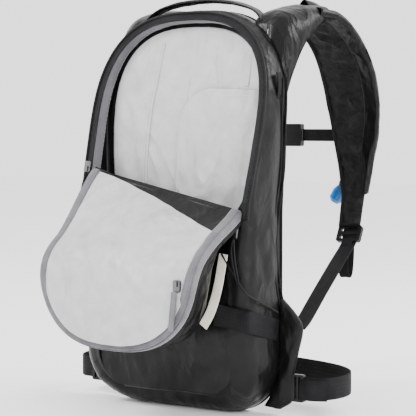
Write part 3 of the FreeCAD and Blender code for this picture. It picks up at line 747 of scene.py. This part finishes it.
dart = [(-41, 192), (-46, 150), (-50, 120), (-54, 70), (-57, 14)]
side_dart = [(83, 190), (83, 165), (82, 141)]
rows = []
for shift in (-3.2, 3.2):
    rows.append(stitch_row(on_lining([(x + shift, z) for x, z in dart], 1.3)))
rows.append(stitch_row(on_lining(side_dart, 1.3)))
edge = [(x, pocket_top(x)) for x in (103, 80, 60, 37, 20, 6, -2, -7, -8.9)]
edge += [(-11, 60), (-13, 20), (-14, -8)]
for step_in in (2.0, 7.0):
    inner = []
    for x, z in edge:
        turned = ease((POCKET_LEFT + POCKET_RADIUS - x) / POCKET_RADIUS)
        x_in = x + step_in * turned
        z_in = z - step_in * (1 - turned)
        u = (x_in - POCKET_LEFT) / (POCKET_RIGHT - POCKET_LEFT)
        t = min((z_in + 14) / (pocket_top(max(x_in, POCKET_LEFT)) + 14), 1)
        inner.append(Vector(pocket_at(min(max(u, 0), 1), t)) + Vector((0, -0.7, 0)))
    rows.append(stitch_row(inner))
sew(join_panels(rows), "lining_stitches", "thread_pale", "pack")
ridges = [seam_ridge(on_lining(dart, 0.7)), seam_ridge(on_lining(side_dart, 0.6))]
sew(join_panels(ridges), "lining_seams", "pale_lining", "pack")
print("lining stitched")


# %% [markdown]
# The black divider stands up just behind the fold of the flap. It keeps small things from
# sliding out, and its edge falls from the left corner to the right.

# %% Black divider
def divider_at(u, t):
    x = between(-107, 111, u)
    top = between(48, -6, u) - 4 * math.sin(math.pi * u)
    z = between(-36, top, t)
    y = front_depth(HINGE_Z) + between(2.5, 11, t) + 2.5 * ripple(x * 0.03, 3, z * 0.02)
    return (x, y, z)


sew(cut_panel(80, 24, divider_at, (210, 60)), "divider", "shell_fabric", "pack",
    replaces=("inner_lip",), wall=1.0, side=(0, -1, 0))
print("divider sewn")

# %% [markdown]
# ## The flap
# The open flap is a shallow bag: a pale panel in front, a grey tape round its edge, and a black
# gusset and back behind. It hangs from the fold, runs out over the load and bends down at the
# knee. Its side view is one smooth line, walked from the fold to the tip.

# %% Side view of the flap
BASE_ANGLE, TIP_ANGLE = math.radians(216.027), math.radians(268.8)
BASE_REACH, FLAP_REACH, KNEE_BEND = 108.8, 202.2, 34.0
FLAP_HALF, FLAP_ARCH = 106.0, 90.7
KNEE = Vector((0, -158, -52))
SIDE_STEPS = 220
base_dir = Vector((0, math.cos(BASE_ANGLE), math.sin(BASE_ANGLE)))
tip_dir = Vector((0, math.cos(TIP_ANGLE), math.sin(TIP_ANGLE)))
fold = Vector((0, HINGE_Y, HINGE_Z))


def flap_angle(s):
    return between(BASE_ANGLE, TIP_ANGLE, ease((s - BASE_REACH + KNEE_BEND) / (2 * KNEE_BEND)))


side_view = [fold]
for step in range(SIDE_STEPS):
    angle = flap_angle(step)
    side_view.append(side_view[-1] + Vector((0, math.cos(angle), math.sin(angle))))


def flap_half(s):
    if s <= FLAP_ARCH:
        return FLAP_HALF
    run = min((s - FLAP_ARCH) / (FLAP_REACH - FLAP_ARCH), 1.0)
    return FLAP_HALF * (1 - run ** 2.6) ** (1 / 2.6)


def root_rise(x, s):
    """The fold is sewn higher on the left than at the zip end on the right."""
    return (11 - 21 * x / FLAP_HALF) * (1 - ease(s / 75))


def flap_skin(x, s, lift):
    """A point of the flap: lift is the height above its lined face."""
    spot = on_line(side_view, max(s, 0) / SIDE_STEPS) + base_dir * min(s, 0)
    angle = flap_angle(s) - math.pi / 2
    rise = root_rise(x, s)
    return Vector((x, spot.y + math.cos(angle) * lift + 0.25 * rise,
                   spot.z + math.sin(angle) * lift + rise))


round_tip = [arch(FLAP_HALF, FLAP_ARCH, FLAP_REACH, math.pi * (1 - i / 40)) for i in range(1, 40)]
EDGE = even_line([Vector((*spot, 0)) for spot in [(-FLAP_HALF, 0), (-FLAP_HALF, FLAP_ARCH), *round_tip,
                                                  (FLAP_HALF, FLAP_ARCH), (FLAP_HALF, 0)]], 300)
SPLIT = 54.0
EDGE_SPLIT = SPLIT / line_length(EDGE)


def flap_edge(q, inset, lift):
    """A point near the flap's edge; q runs from the left root round the tip to the right root."""
    p = on_line(EDGE, q)
    ahead = on_line(EDGE, min(q + 0.005, 1)) - on_line(EDGE, max(q - 0.005, 0))
    inward = Vector((ahead.y, -ahead.x, 0)).normalized()
    spot = p + inward * inset
    return flap_skin(spot.x, spot.y, lift)


print("flap edge", round(line_length(EDGE)), "mm; tip at",
      [round(c) for c in flap_skin(0, FLAP_REACH, 0)])

# %% [markdown]
# The flap crosses two joints, the fold and the knee, and a blended piece can cross only one.
# So each cloth of the flap is cut in two halfway to the knee, where the two halves meet.

# %% Blends and split pieces of the flap
AT_FOLD = ("pack", "flap_base", fold + base_dir * 1, fold + base_dir * 40)
AT_KNEE = ("flap_base", "flap_tip", KNEE - base_dir * 26, KNEE + tip_dir * 26)


def flap_strip(name, look, place, rows, size, wall=0.0, side=None, replaces=(), columns=200):
    """A strip round the flap's edge, as an upper piece and a lower piece with a left and right part."""
    first = EDGE_SPLIT - 0.004
    upper = cut_panel(columns, rows, lambda u, v: place(between(first, 1 - first, u), v), size)
    left = cut_panel(30, rows, lambda u, v: place(between(0, EDGE_SPLIT, u), v), (SPLIT, size[1]))
    right = cut_panel(30, rows, lambda u, v: place(between(1 - EDGE_SPLIT, 1, u), v), (SPLIT, size[1]))
    if side:
        turn_towards(left, side)
        turn_towards(right, side)
    sew(upper, name + "_tip", look, blend=AT_KNEE, replaces=replaces, wall=wall, side=side)
    sew(join_panels([left, right]), name + "_root", look, blend=AT_FOLD, wall=wall)


def flap_sheet(name, look, place, inset, start, stop, wall=0.0, side=None, replaces=()):
    """A sheet across the flap, cut in two across its width."""
    def half(low, high):
        def put(u, t):
            s = between(low(u), high, t)
            return place((2 * u - 1) * max(flap_half(min(s + inset, FLAP_REACH)) - inset, 0.5), s)
        return put
    sew(cut_panel(80, 70, half(lambda u: SPLIT, stop), (200, 150)), name + "_tip", look, blend=AT_KNEE,
        replaces=replaces[:1], wall=wall, side=side)
    sew(cut_panel(80, 26, half(start, SPLIT), (200, 60)), name + "_root", look, blend=AT_FOLD,
        replaces=replaces[1:], wall=wall, side=side)


# %% Pale flap panel
def panel_skin(x, s):
    across = 1 - (x / FLAP_HALF) ** 2
    billow = 8.0 * across * ease(s / 60) * (1 - 0.5 * ease((s - 150) / 60))
    slack = 3.4 * ripple(x * 0.018, s * 0.02, 4.0) + 1.6 * ripple(x * 0.05, s * 0.05, 8.0)
    slack += 1.8 * ripple((x + s) * 0.02, (s - x) * 0.09, 3.0) * ease((x + 20) / 90)
    sag = -3.0 * math.exp(-((s - 128) / 12) ** 2) * ease((x - 60) / 30)
    return flap_skin(x, s, 1.6 + billow + slack * across + sag)


flap_sheet("flap_panel", "pale_lining", panel_skin, 4.5, lambda u: between(1.0, 52.0, u ** 1.7),
           FLAP_REACH - 5.0, side=(0, -1, 0.4), replaces=("flap_lining_upper", "flap_lining_lower"))


# %% Grey tape round the flap, and the zip beside it
def tape_face(q, v):
    return flap_edge(q, between(-0.6, 9.4, v),
                     2.6 + 0.9 * math.sin(math.pi * v) + 0.4 * ripple(q * 40, 1, 0))


def tape_side(q, v):
    return flap_edge(q, -1.0 - 0.8 * math.sin(math.pi * v), between(2.4, -7.5, v))


def coil_side(q, v):
    return flap_edge(q, -1.2 + 1.2 * math.cos(2 * math.pi * v), -8.6 + 1.3 * math.sin(2 * math.pi * v))


def skirt_side(q, v):
    return flap_edge(q, -0.4, between(-9.4, -13.5, v))


flap_strip("flap_tape", "grey_binding", tape_face, 5, (510, 10), wall=0.8, side=(0, -1, 0.4),
           replaces=("flap_trim_upper", "flap_trim_lower"))
flap_strip("flap_tape_side", "grey_binding", tape_side, 5, (510, 10), wall=0.6)
flap_strip("flap_zip", "zip_tape", coil_side, 8, (510, 8))
flap_strip("flap_zip_skirt", "zip_tape", skirt_side, 3, (510, 5))

# %% Black gusset and back of the flap
REAR_VIEW = smooth_line([(0, -73, 10), (0, -88, -36), (0, -101, -82), (0, -108, -110),
                         (0, -120, -132), (0, -140, -142), (0, -156, -145)], 100)


def rear_spot(x, s):
    p = on_line(REAR_VIEW, s / FLAP_REACH)
    rise = root_rise(x, s)
    return Vector((x * between(0.95, 0.80, ease(s / 70)), p.y + 0.25 * rise, p.z + rise))


def gusset_at(q, v):
    front = flap_edge(q, -0.2, -12.5)
    p = on_line(EDGE, q)
    rear = rear_spot(p.x, p.y)
    spot = front.lerp(rear, v)
    out = Vector((p.x, 0, -(p.y - 60) * 0.8)).normalized()
    crease = ripple(q * 16, v * 2.5, 2.0) * 3.2 + ripple(q * 40, v * 4, 5.0) * 1.4
    return spot + out * (math.sin(math.pi * v) * (1.5 + crease))


def rear_skin(x, s):
    return rear_spot(x, s) + Vector((0, 3.0 * ripple(x * 0.02, s * 0.02, 3.0), 0))


flap_strip("flap_gusset", "shell_fabric", gusset_at, 22, (510, 60), columns=260,
           replaces=("flap_shell_upper", "flap_shell_lower"))
flap_sheet("flap_rear", "shell_fabric", rear_skin, 0.0, lambda u: 0.0, FLAP_REACH, side=(0, 1, -0.6))
flap_sheet("flap_backing", "shell_fabric", lambda x, s: flap_skin(x, s, -0.6), 2.0,
           lambda u: -3.0, SPLIT + 20, side=(0, -1, 0.4))

# %% Stitches on the flap tape
for inset in (1.6, 8.0):
    seam = [flap_edge(between(EDGE_SPLIT, 1 - EDGE_SPLIT, i / 60), inset, 4.0) for i in range(61)]
    sew(stitch_row(seam, 3.2, 2.2, 0.5), "flap_stitches", "thread_dark", blend=AT_KNEE)
print("flap sewn,", len(made), "pieces in all")

# %% [markdown]
# ## Shoulder yokes
# The shoulders grow out of the pack: satin cloth runs from the side and the top of the back into
# each strap. In side view the yoke lies between an upper and a lower line, so it is lofted as a
# closed section that shrinks from one to the other.

# %% Yokes
YOKE_UPPER = smooth_line([(0, 1, 212), (0, 15, 225), (0, 34, 231), (0, 62, 236), (0, 92, 237)], 60)
YOKE_LOWER = smooth_line([(0, 1, 98), (0, 18, 142), (0, 34, 170), (0, 56, 197), (0, 86, 216)], 60)


def yoke_side(sign):
    def place(u, t):
        high, low = on_line(YOKE_UPPER, t), on_line(YOKE_LOWER, t)
        a, b = rounded(2 * math.pi * u, 0.8)
        a *= between(33, 31, t)
        spot = low.lerp(high, (b + 1) / 2) + Vector((between(89, 93, t) + a, 0, 0))
        fold_depth = ripple(spot.x * 0.05, spot.y * 0.02, spot.z * 0.03)
        spot += (spot - Vector((90, spot.y, spot.z))).normalized() * 2.0 * fold_depth
        return (sign * spot.x, spot.y, spot.z)
    return cut_panel(72, 60, place, (190, 110), weld=True)


def arm_blend(sign, body):
    return ("pack", body, (sign * 86, 34, 204), (sign * 88, 82, 224))


BOTH_STRAPS = ((1, "strap_right", "right"), (-1, "strap_left", "left"))
for sign, body, side_name in BOTH_STRAPS:
    yoke = yoke_side(sign)
    cap_and_face_out(yoke)
    sew(yoke, "yoke_" + side_name, "strap_satin", blend=arm_blend(sign, body), replaces=("yokes",))
print("yokes sewn")

# %% [markdown]
# ## Shoulder straps
# A strap is a foam pad with air mesh on the wearer's side, satin cloth outside and a bound edge.
# The pad is a carried section. The satin is a sheet over its outer face, with a ridge where the
# drinking hose runs beneath it.

# %% Strap lines
STRAP = [(91, 78, 227), (97, 102, 221), (104, 132, 196), (108, 155, 160), (108, 172, 112),
         (107, 178, 62), (110, 172, 20), (112, 163, -8), (114, 155.6, -25)]
STRAP_WIDE = [60, 66, 66, 68, 66, 56, 40, 28, 26]
STRAP_THICK = 9.0


def strap_frame(line, t, sign):
    ahead = heading(line, t)
    side = (Vector((sign, 0, 0)) - ahead * ahead.x * sign).normalized()
    return on_line(line, t), side, (ahead.cross(side) * -sign).normalized()


def strap_width(t):
    return pick(STRAP_WIDE, t)


def strap_line(sign):
    return smooth_line([(sign * x, y, z) for x, y, z in STRAP], 120)


def pad_panel(sign):
    line = strap_line(sign)

    def place(u, t):
        centre, side, out = strap_frame(line, t, sign)
        angle = 2 * math.pi * u
        c, s = math.cos(angle), math.sin(angle)
        a, b = rounded(angle, 0.75)
        a, b = a * strap_width(t) / 2, b * STRAP_THICK / 2 * (1 - 0.25 * abs(c) ** 2)
        quilt = ripple(a * 0.05 + t * 9, t * 26 - a * 0.04, sign * 3.0)
        small = ripple(a * 0.12, t * 60, sign * 5.0)
        swell = (3.0 * quilt + 1.5 * small) * (1 if s < 0 else 0.2) * abs(s)
        return centre + side * a + out * (b + swell)
    return cut_panel(60, 130, place, (150, 320), weld=True)


def satin_panel(sign, ridge_high, stop):
    """Satin over the outer face; it turns round the outer edge and shows on the wearer's side."""
    line = strap_line(sign)
    over, turn, back_in = 0.70, 0.84, 15.0

    def place(u, t):
        t_on = t * stop
        centre, side, out = strap_frame(line, t_on, sign)
        half = strap_width(t_on) / 2 + 1.2
        crease = 1.5 * ripple(u * 5, t * 9, sign) + 0.7 * ripple(u * 12, t * 26, 4)
        if u < over:
            a = between(-half, half, u / over)
            ridge = ridge_high * math.exp(-((a - 2.5) / 10) ** 2) * (1 - 0.4 * ease((t - 0.85) / 0.15))
            wrap = -6.5 * abs(a / half) ** 10 if a < 0 else -2.0 * abs(a / half) ** 8
            high = STRAP_THICK / 2 + 1.4 + ridge + wrap + crease * (1 - abs(a / half) ** 4)
            return centre + side * a + out * high
        if u < turn:
            angle = math.pi * (u - over) / (turn - over)
            high = STRAP_THICK / 2 + 0.4
            return (centre + side * (half + 3.2 * math.sin(angle)) + out * (high * math.cos(angle) - 0.6)
                    + side * crease * 0.5)
        inward = back_in * (1 - 0.8 * ease((t - 0.75) / 0.25)) * (u - turn) / (1 - turn)
        return centre + side * (half - inward) - out * (STRAP_THICK / 2 + 1.0 - 0.5 * crease)
    return cut_panel(72, 120, place, (90, 280))


def edge_of_strap(sign, edge, count=24):
    line = strap_line(sign)
    points = []
    for i in range(count + 1):
        centre, side, out = strap_frame(line, i / count, sign)
        points.append(centre + side * edge * (strap_width(i / count) / 2 + 0.2) - out * 1.5)
    return points


# %% Sew both straps
SATIN_END = 0.86
for (sign, body, side_name), ridge in zip(BOTH_STRAPS, (11.0, 2.5)):
    pad = pad_panel(sign)
    cap_and_face_out(pad)
    piece = sew(pad, "strap_pad_" + side_name, "mesh", body,
                replaces=("shoulder_pad_" + side_name,) + (("hose_sleeve",) if sign > 0 else ()))
    sew(satin_panel(sign, ridge, SATIN_END), "strap_satin_" + side_name, "strap_satin", body, wall=0.9,
        side=(0, 1, 0.3))
    binding = carry(edge_of_strap(sign, -1), 3.4, 4.6, (0, 1, 0), power=2.4, rows=120, around=10)
    sew(binding, "strap_binding_" + side_name, "webbing", body)
print("straps sewn")

# %% [markdown]
# ## Drinking hose
# The hose leaves the pack through a slit behind the handle and dives under the satin of the right
# strap. It comes out above the valve. It is held all the way, so it is a plain tube.

# %% Hose
HOSE = [(96, -14, 160), (96, -1, 184), (95, 6, 206), (93, 19, 220), (90, 35, 227.5), (90, 54, 231),
        (92, 69, 233), (96, 87, 232), (100.5, 107, 227), (104.5, 125, 215.5), (108, 142, 199),
        (110.5, 156, 178), (111, 166.5, 156), (110.6, 175.5, 134), (110, 182.3, 110),
        (109.2, 186.8, 88), (106, 189.4, 66), (98.5, 190.6, 48), (91.5, 190.4, 35)]
hose = carry(HOSE, 9, 9, (1, 0, 0), rows=240, around=20)
sew(hose, "hose", "hose_rubber", blend=arm_blend(1, "strap_right"),
    replaces=("hose_in_pack", "hose_in_strap"))
print("hose", round(line_length(smooth_line(HOSE, 200))), "mm in view")

# %% [markdown]
# ## Handle, bands and webbing
# Webbing is one profile in several widths. It is carried flat along its line, with a rib in the
# finish. Where the lower webbing of a strap is sewn to the pack, it runs between the two.

# %% Carry handle
handle_half = [(84, 11, 208.6), (80.5, 11.5, 220), (67, 12.5, 230.5), (45, 13.5, 237), (22, 14, 240.4)]
handle_line = handle_half + [(0, 14, 241.4)] + other_side(handle_half)[::-1]
handle = carry(handle_line, [15, 16, 18, 20, 22, 22, 22, 20, 18, 16, 15],
               [2.4, 2.6, 4, 5, 6, 6, 6, 5, 4, 2.6, 2.4], (0, 1, 0), power=2.8, rows=160, around=28, rumple=0.8)
sew(handle, "handle", "strap_satin", "haul_handle", replaces=("haul_handle",))

# %% Webbing of the straps
lower_webbing = [(113.8, 158.5, -26), (115.4, 151.5, -36), (117, 145, -46), (122, 108, -68),
                 (129, 58, -98), (136, 14, -124), (139, -6, -132)]
tail_loop = [(116, 149, -39), (117.5, 146.5, -52), (118.4, 144, -66), (118.6, 141, -80),
             (118, 137.5, -85), (117, 134.6, -79), (116.4, 134, -66), (116.2, 140, -50),
             (115.6, 147, -40)]
for sign, body, side_name in BOTH_STRAPS:
    line = lower_webbing if sign > 0 else other_side(lower_webbing)
    sew(carry(line, 20, 1.8, (1, 0, 0), power=5, rows=100, around=20),
        "lower_webbing_" + side_name + "_strap", "webbing",
        blend=("pack", body, (sign * 136, 14, -124), (sign * 118, 136, -52)),
        replaces=("lower_webbing_" + side_name,))
    loop = tail_loop if sign > 0 else other_side(tail_loop)
    sew(carry(loop, 14, 1.4, (1, 0, 0), power=5, rows=80, around=16), "webbing_loop_" + side_name,
        "webbing", body)

# %% Bands round the lower corners, and the tabs
band = [(76, -77.4, -112.5), (100, -77.6, -116), (117.5, -77.2, -118.8), (121.6, -71, -120),
        (121.5, -45, -126.5), (121.2, -18, -133.5)]
side_tab = [(122.6, -19, 156), (124.2, -19, 148), (124.4, -19, 136), (122.8, -19, 127)]
bands = []
for sign in (1, -1):
    for line, wide in ((band, 25), (side_tab, 10)):
        line = line if sign > 0 else other_side(line)
        bands.append(carry(line, wide, 1.7, (0, 0, 1) if wide == 25 else (0, 1, 0), power=5,
                           rows=80, around=16))
sew(join_panels(bands), "side_webbing", "webbing", "pack", replaces=("side_bands",))

# %% Piping of the rear pocket on both sides
piping_path = [(-15, 150), (-15, 100), (-14, 48), (-21, 8), (-27, -33), (-20, -80), (-4, -131),
               (-2, -165)]
pipings = []
for sign in (1, -1):
    for step_back in (0, 8):
        line = [(sign * (half_width(z, 0) + 2.2), y + step_back, z) for y, z in piping_path]
        pipings.append(carry(line, 2.2, 1.8, (0, 1, 0), power=2.2, rows=120, around=8))
sew(join_panels(pipings), "side_piping", "webbing", "pack")

# %% Cream carry strap
cream = [(88, -77.2, -45), (86.5, -79.5, -60), (83.5, -80.5, -78), (78, -80, -96),
         (70.5, -79.2, -113), (61, -78.4, -127)]
sew(carry(cream, 11.5, 2.0, (1, 0, 0), power=4.5, rows=90, around=18), "cream_strap",
    "cream_webbing", "pack", replaces=("carry_strap",))

# %% Sternum webbing
CHEST_Y, CHEST_Z = 189.6, 84.0
chest_right = [(25, CHEST_Y, CHEST_Z), (50, CHEST_Y + 0.4, CHEST_Z), (82, CHEST_Y, CHEST_Z)]
chest_left = [(-7, CHEST_Y, CHEST_Z), (-40, CHEST_Y + 0.4, CHEST_Z), (-79, CHEST_Y, CHEST_Z)]
for line, body, node in ((chest_right, "chest_right", "chest_webbing_right"),
                         (chest_left, "chest_male", "chest_webbing_left")):
    sew(carry(line, 15, 1.5, (0, 0, 1), power=5, rows=40, around=16), node + "_strap", "webbing", body,
        replaces=(node,))

# %% [markdown]
# ## Waist belt
# The belt is 25 mm webbing on small padded wings. Its right half carries the female buckle.
# Its left half runs to the male part.

# %% Belt webbing
belt = [(140, -9, -198), (152.4, -9.2, -198), (166, -7, -198), (176.5, 2, -197.6),
        (182.5, 18, -197), (181.5, 38, -196), (172, 56, -195), (152, 72, -194), (124, 82, -193),
        (90, 88, -192), (56, 90.6, -191), (27.6, 91, -190.6)]
belt_tail = [(146, -12.2, -198.6), (158, -11.6, -199), (168, -7.6, -199.2), (176, -0.6, -199.6)]
right_half = join_panels([carry(belt, 25, 1.8, (0, 0, 1), power=6, rows=140, around=20),
                          carry(belt_tail, 24, 1.8, (0, 0, 1), power=6, rows=30, around=20)])
sew(right_half, "belt_right_strap", "webbing",
    blend=("pack", "belt_right", (148, -9, -198), (180, 24, -197)),
    replaces=("belt_webbing_right",))
left_line = other_side(belt[:-1]) + [(-8, 91, -190.4)]
sew(carry(left_line, 25, 1.8, (0, 0, 1), power=6, rows=150, around=20), "belt_left_strap", "webbing",
    blend=("belt_right", "belt_left", (-150, -9, -198), (-182, 30, -197)),
    replaces=("belt_webbing_left",))


# %% Belt wings
WING_IN = smooth_line([(117, 0, -100), (117.5, 0, -140), (117, 0, -175), (108, 0, -205),
                       (98, 0, -222)], 40)
WING_OUT = smooth_line([(122, 0, -98), (141, 0, -116), (149, 0, -131), (143, 0, -158),
                        (137, 0, -184), (136, 0, -212), (120, 0, -224)], 40)


def wing_panel(sign):
    def place(u, t):
        inner, outer = on_line(WING_IN, t), on_line(WING_OUT, t)
        angle = 2 * math.pi * u
        a = (rounded(angle, 0.6)[0] + 1) / 2
        spot = inner.lerp(outer, a)
        swell = 1 + 0.35 * ripple(a * 3, t * 6, 2)
        thick = 4.6 * rounded(angle, 0.8)[1] * swell
        return (sign * spot.x, -9 + thick * math.sin(math.pi * between(0.12, 0.88, t)) ** 0.4, spot.z)
    return cut_panel(44, 60, place, (60, 130), weld=True)


wings = [wing_panel(1), wing_panel(-1)]
for wing in wings:
    cap_and_face_out(wing)
wing_piece = sew(join_panels(wings), "belt_wing_pads", "shell_fabric", "pack", replaces=("belt_wings",))
print("belt sewn")

# %% [markdown]
# ## Back pad
# The wearer's side is a mesh pad with raised fields and air channels between them. It is one
# sheet from the edge of the outline to the middle, raised by a pattern of its height and width.

# %% Back pad
def pad_relief(x, z):
    rib = 0.5 + 0.5 * math.cos((z + 12 * math.cos(x * 0.03)) * 2 * math.pi / 62)
    spine = math.exp(-(x / 13) ** 2)
    return 5.0 * (1 - rib ** 6) * (1 - spine)


def back_at(u, t):
    edge = outline_at(u, 1.5, 0)
    x = edge.x * (1 - t)
    z = between(edge.z, min(max(edge.z, -170), 150), t)
    rim_in = ease(t * 7)
    return (x, back_depth(z) - REAR_SEAM + 2.0 + (pad_relief(x, z) - 0.2) * rim_in, z)


back = sew(cut_panel(300, 90, back_at, (400, 400), weld=True), "back_mesh", "mesh", "pack",
           replaces=("back_pad",), side=(0, 1, 0))
piping = []
for i in range(121):
    z = outline_at(i / 120, 0, 0).z
    piping.append(outline_at(i / 120, -0.4, back_depth(z) - REAR_SEAM))
sew(carry(piping, 3.4, 3.4, (0, 1, 0), rows=420, around=8), "rear_piping", "webbing", "pack")
print("back pad sewn")

# %% [markdown]
# ## Cords and pulls
# The side cord is a thin elastic cord that holds a small hook against the cloth. It runs from one
# sewn end to the other, so its length is the length of its line.

# %% Side cord
CORD = [(86, -78.4, -45), (94.5, -79, -56.5), (103.5, -79.4, -69), (112.5, -79.6, -80),
        (119.8, -77.8, -88), (124, -70.5, -93.5), (124.4, -55, -99.5), (124.2, -38, -106),
        (123.6, -21, -113)]
cord_line = smooth_line(CORD, 120)
side_cord = sew(carry(CORD, 2.2, 2.2, (0, 0, 1), rows=120, around=10), "elastic_cord", "cord", "pack",
                replaces=("side_cord",))
print("side cord", round(line_length(cord_line), 1), "mm")

# %% Cord loops on the zip sliders
right_loop = [(103.4, -81.4, -27.8), (101.4, -82, -40), (103.2, -82.2, -54), (108, -82, -72),
              (110.4, -82, -75), (110.2, -81.8, -71), (106.4, -81.6, -54), (104.8, -81.4, -40),
              (104.2, -81.4, -28)]
sew(carry(right_loop, 2.0, 2.0, (0, 1, 0), rows=110, around=8), "pull_loop_right", "cord",
    "zip_pull_right", replaces=("zip_pull_right",))
left_loop = [(-115.0, -67.8, 41), (-117.2, -71, 28), (-118, -75.5, 10), (-117, -76.5, 5),
             (-116, -75, 10), (-115.6, -70.8, 28), (-115.8, -68, 41)]
sew(carry(left_loop, 2.0, 2.0, (0, 1, 0), rows=80, around=8), "pull_loop_left", "cord", "zip_pull_left",
    replaces=("zip_pull_left",))
print(len(made), "pieces made")

# %% [markdown]
# ## Floor, light and camera
# A pale sweep, a large soft light from the front left, a fill from the right and a light from
# behind that draws the edge of the black cloth.

# %% Floor and world
floor_panel = bmesh.new()
bmesh.ops.create_grid(floor_panel, x_segments=1, y_segments=1, size=6.0)
for v in floor_panel.verts:
    v.co.z = frame_box[0][2] - 0.002
floor_look = bpy.data.materials.new("floor")
floor_look.use_nodes = True
floor_shader = floor_look.node_tree.nodes["Principled BSDF"]
floor_shader.inputs["Base Color"].default_value = (0.95, 0.95, 0.95, 1)
floor_shader.inputs["Roughness"].default_value = 0.9
as_object(floor_panel, "floor", floor_look)
world = bpy.context.scene.world or bpy.data.worlds.new("studio")
bpy.context.scene.world = world
world.use_nodes = True
sky = world.node_tree.nodes["Background"]
sky.inputs["Color"].default_value, sky.inputs["Strength"].default_value = (1, 1, 1, 1), 2.1


# %% Lights
def soft_light(name, place, aim, size, power):
    data = bpy.data.lights.new(name, "AREA")
    data.size, data.energy = size, power
    lamp = bpy.data.objects.new(name, data)
    lamp.location = place
    lamp.rotation_euler = (Vector(aim) - Vector(place)).to_track_quat("-Z", "Y").to_euler()
    bpy.context.collection.objects.link(lamp)


CENTRE = (0, 0, 0.0)
soft_light("key", (-1.2, -1.5, 1.6), CENTRE, 0.6, 52)
soft_light("fill", (1.9, -1.0, 0.7), CENTRE, 0.7, 26)
soft_light("rim", (1.4, 1.2, 1.2), CENTRE, 0.8, 40)

# %% Camera
AZIMUTH, ELEVATION, DISTANCE = math.radians(35), math.radians(3), 2.0
target = Vector((0.0086, 0.0060, 0.0))
camera_data = bpy.data.cameras.new("camera")
camera_data.sensor_width, camera_data.lens = 36.0, 147.9
camera = bpy.data.objects.new("camera", camera_data)
level = math.cos(ELEVATION)
back_off = Vector((math.sin(AZIMUTH) * level, -math.cos(AZIMUTH) * level, math.sin(ELEVATION)))
camera.location = target + back_off * DISTANCE
camera.rotation_euler = (-back_off).to_track_quat("-Z", "Y").to_euler()
bpy.context.collection.objects.link(camera)
bpy.context.scene.camera = camera
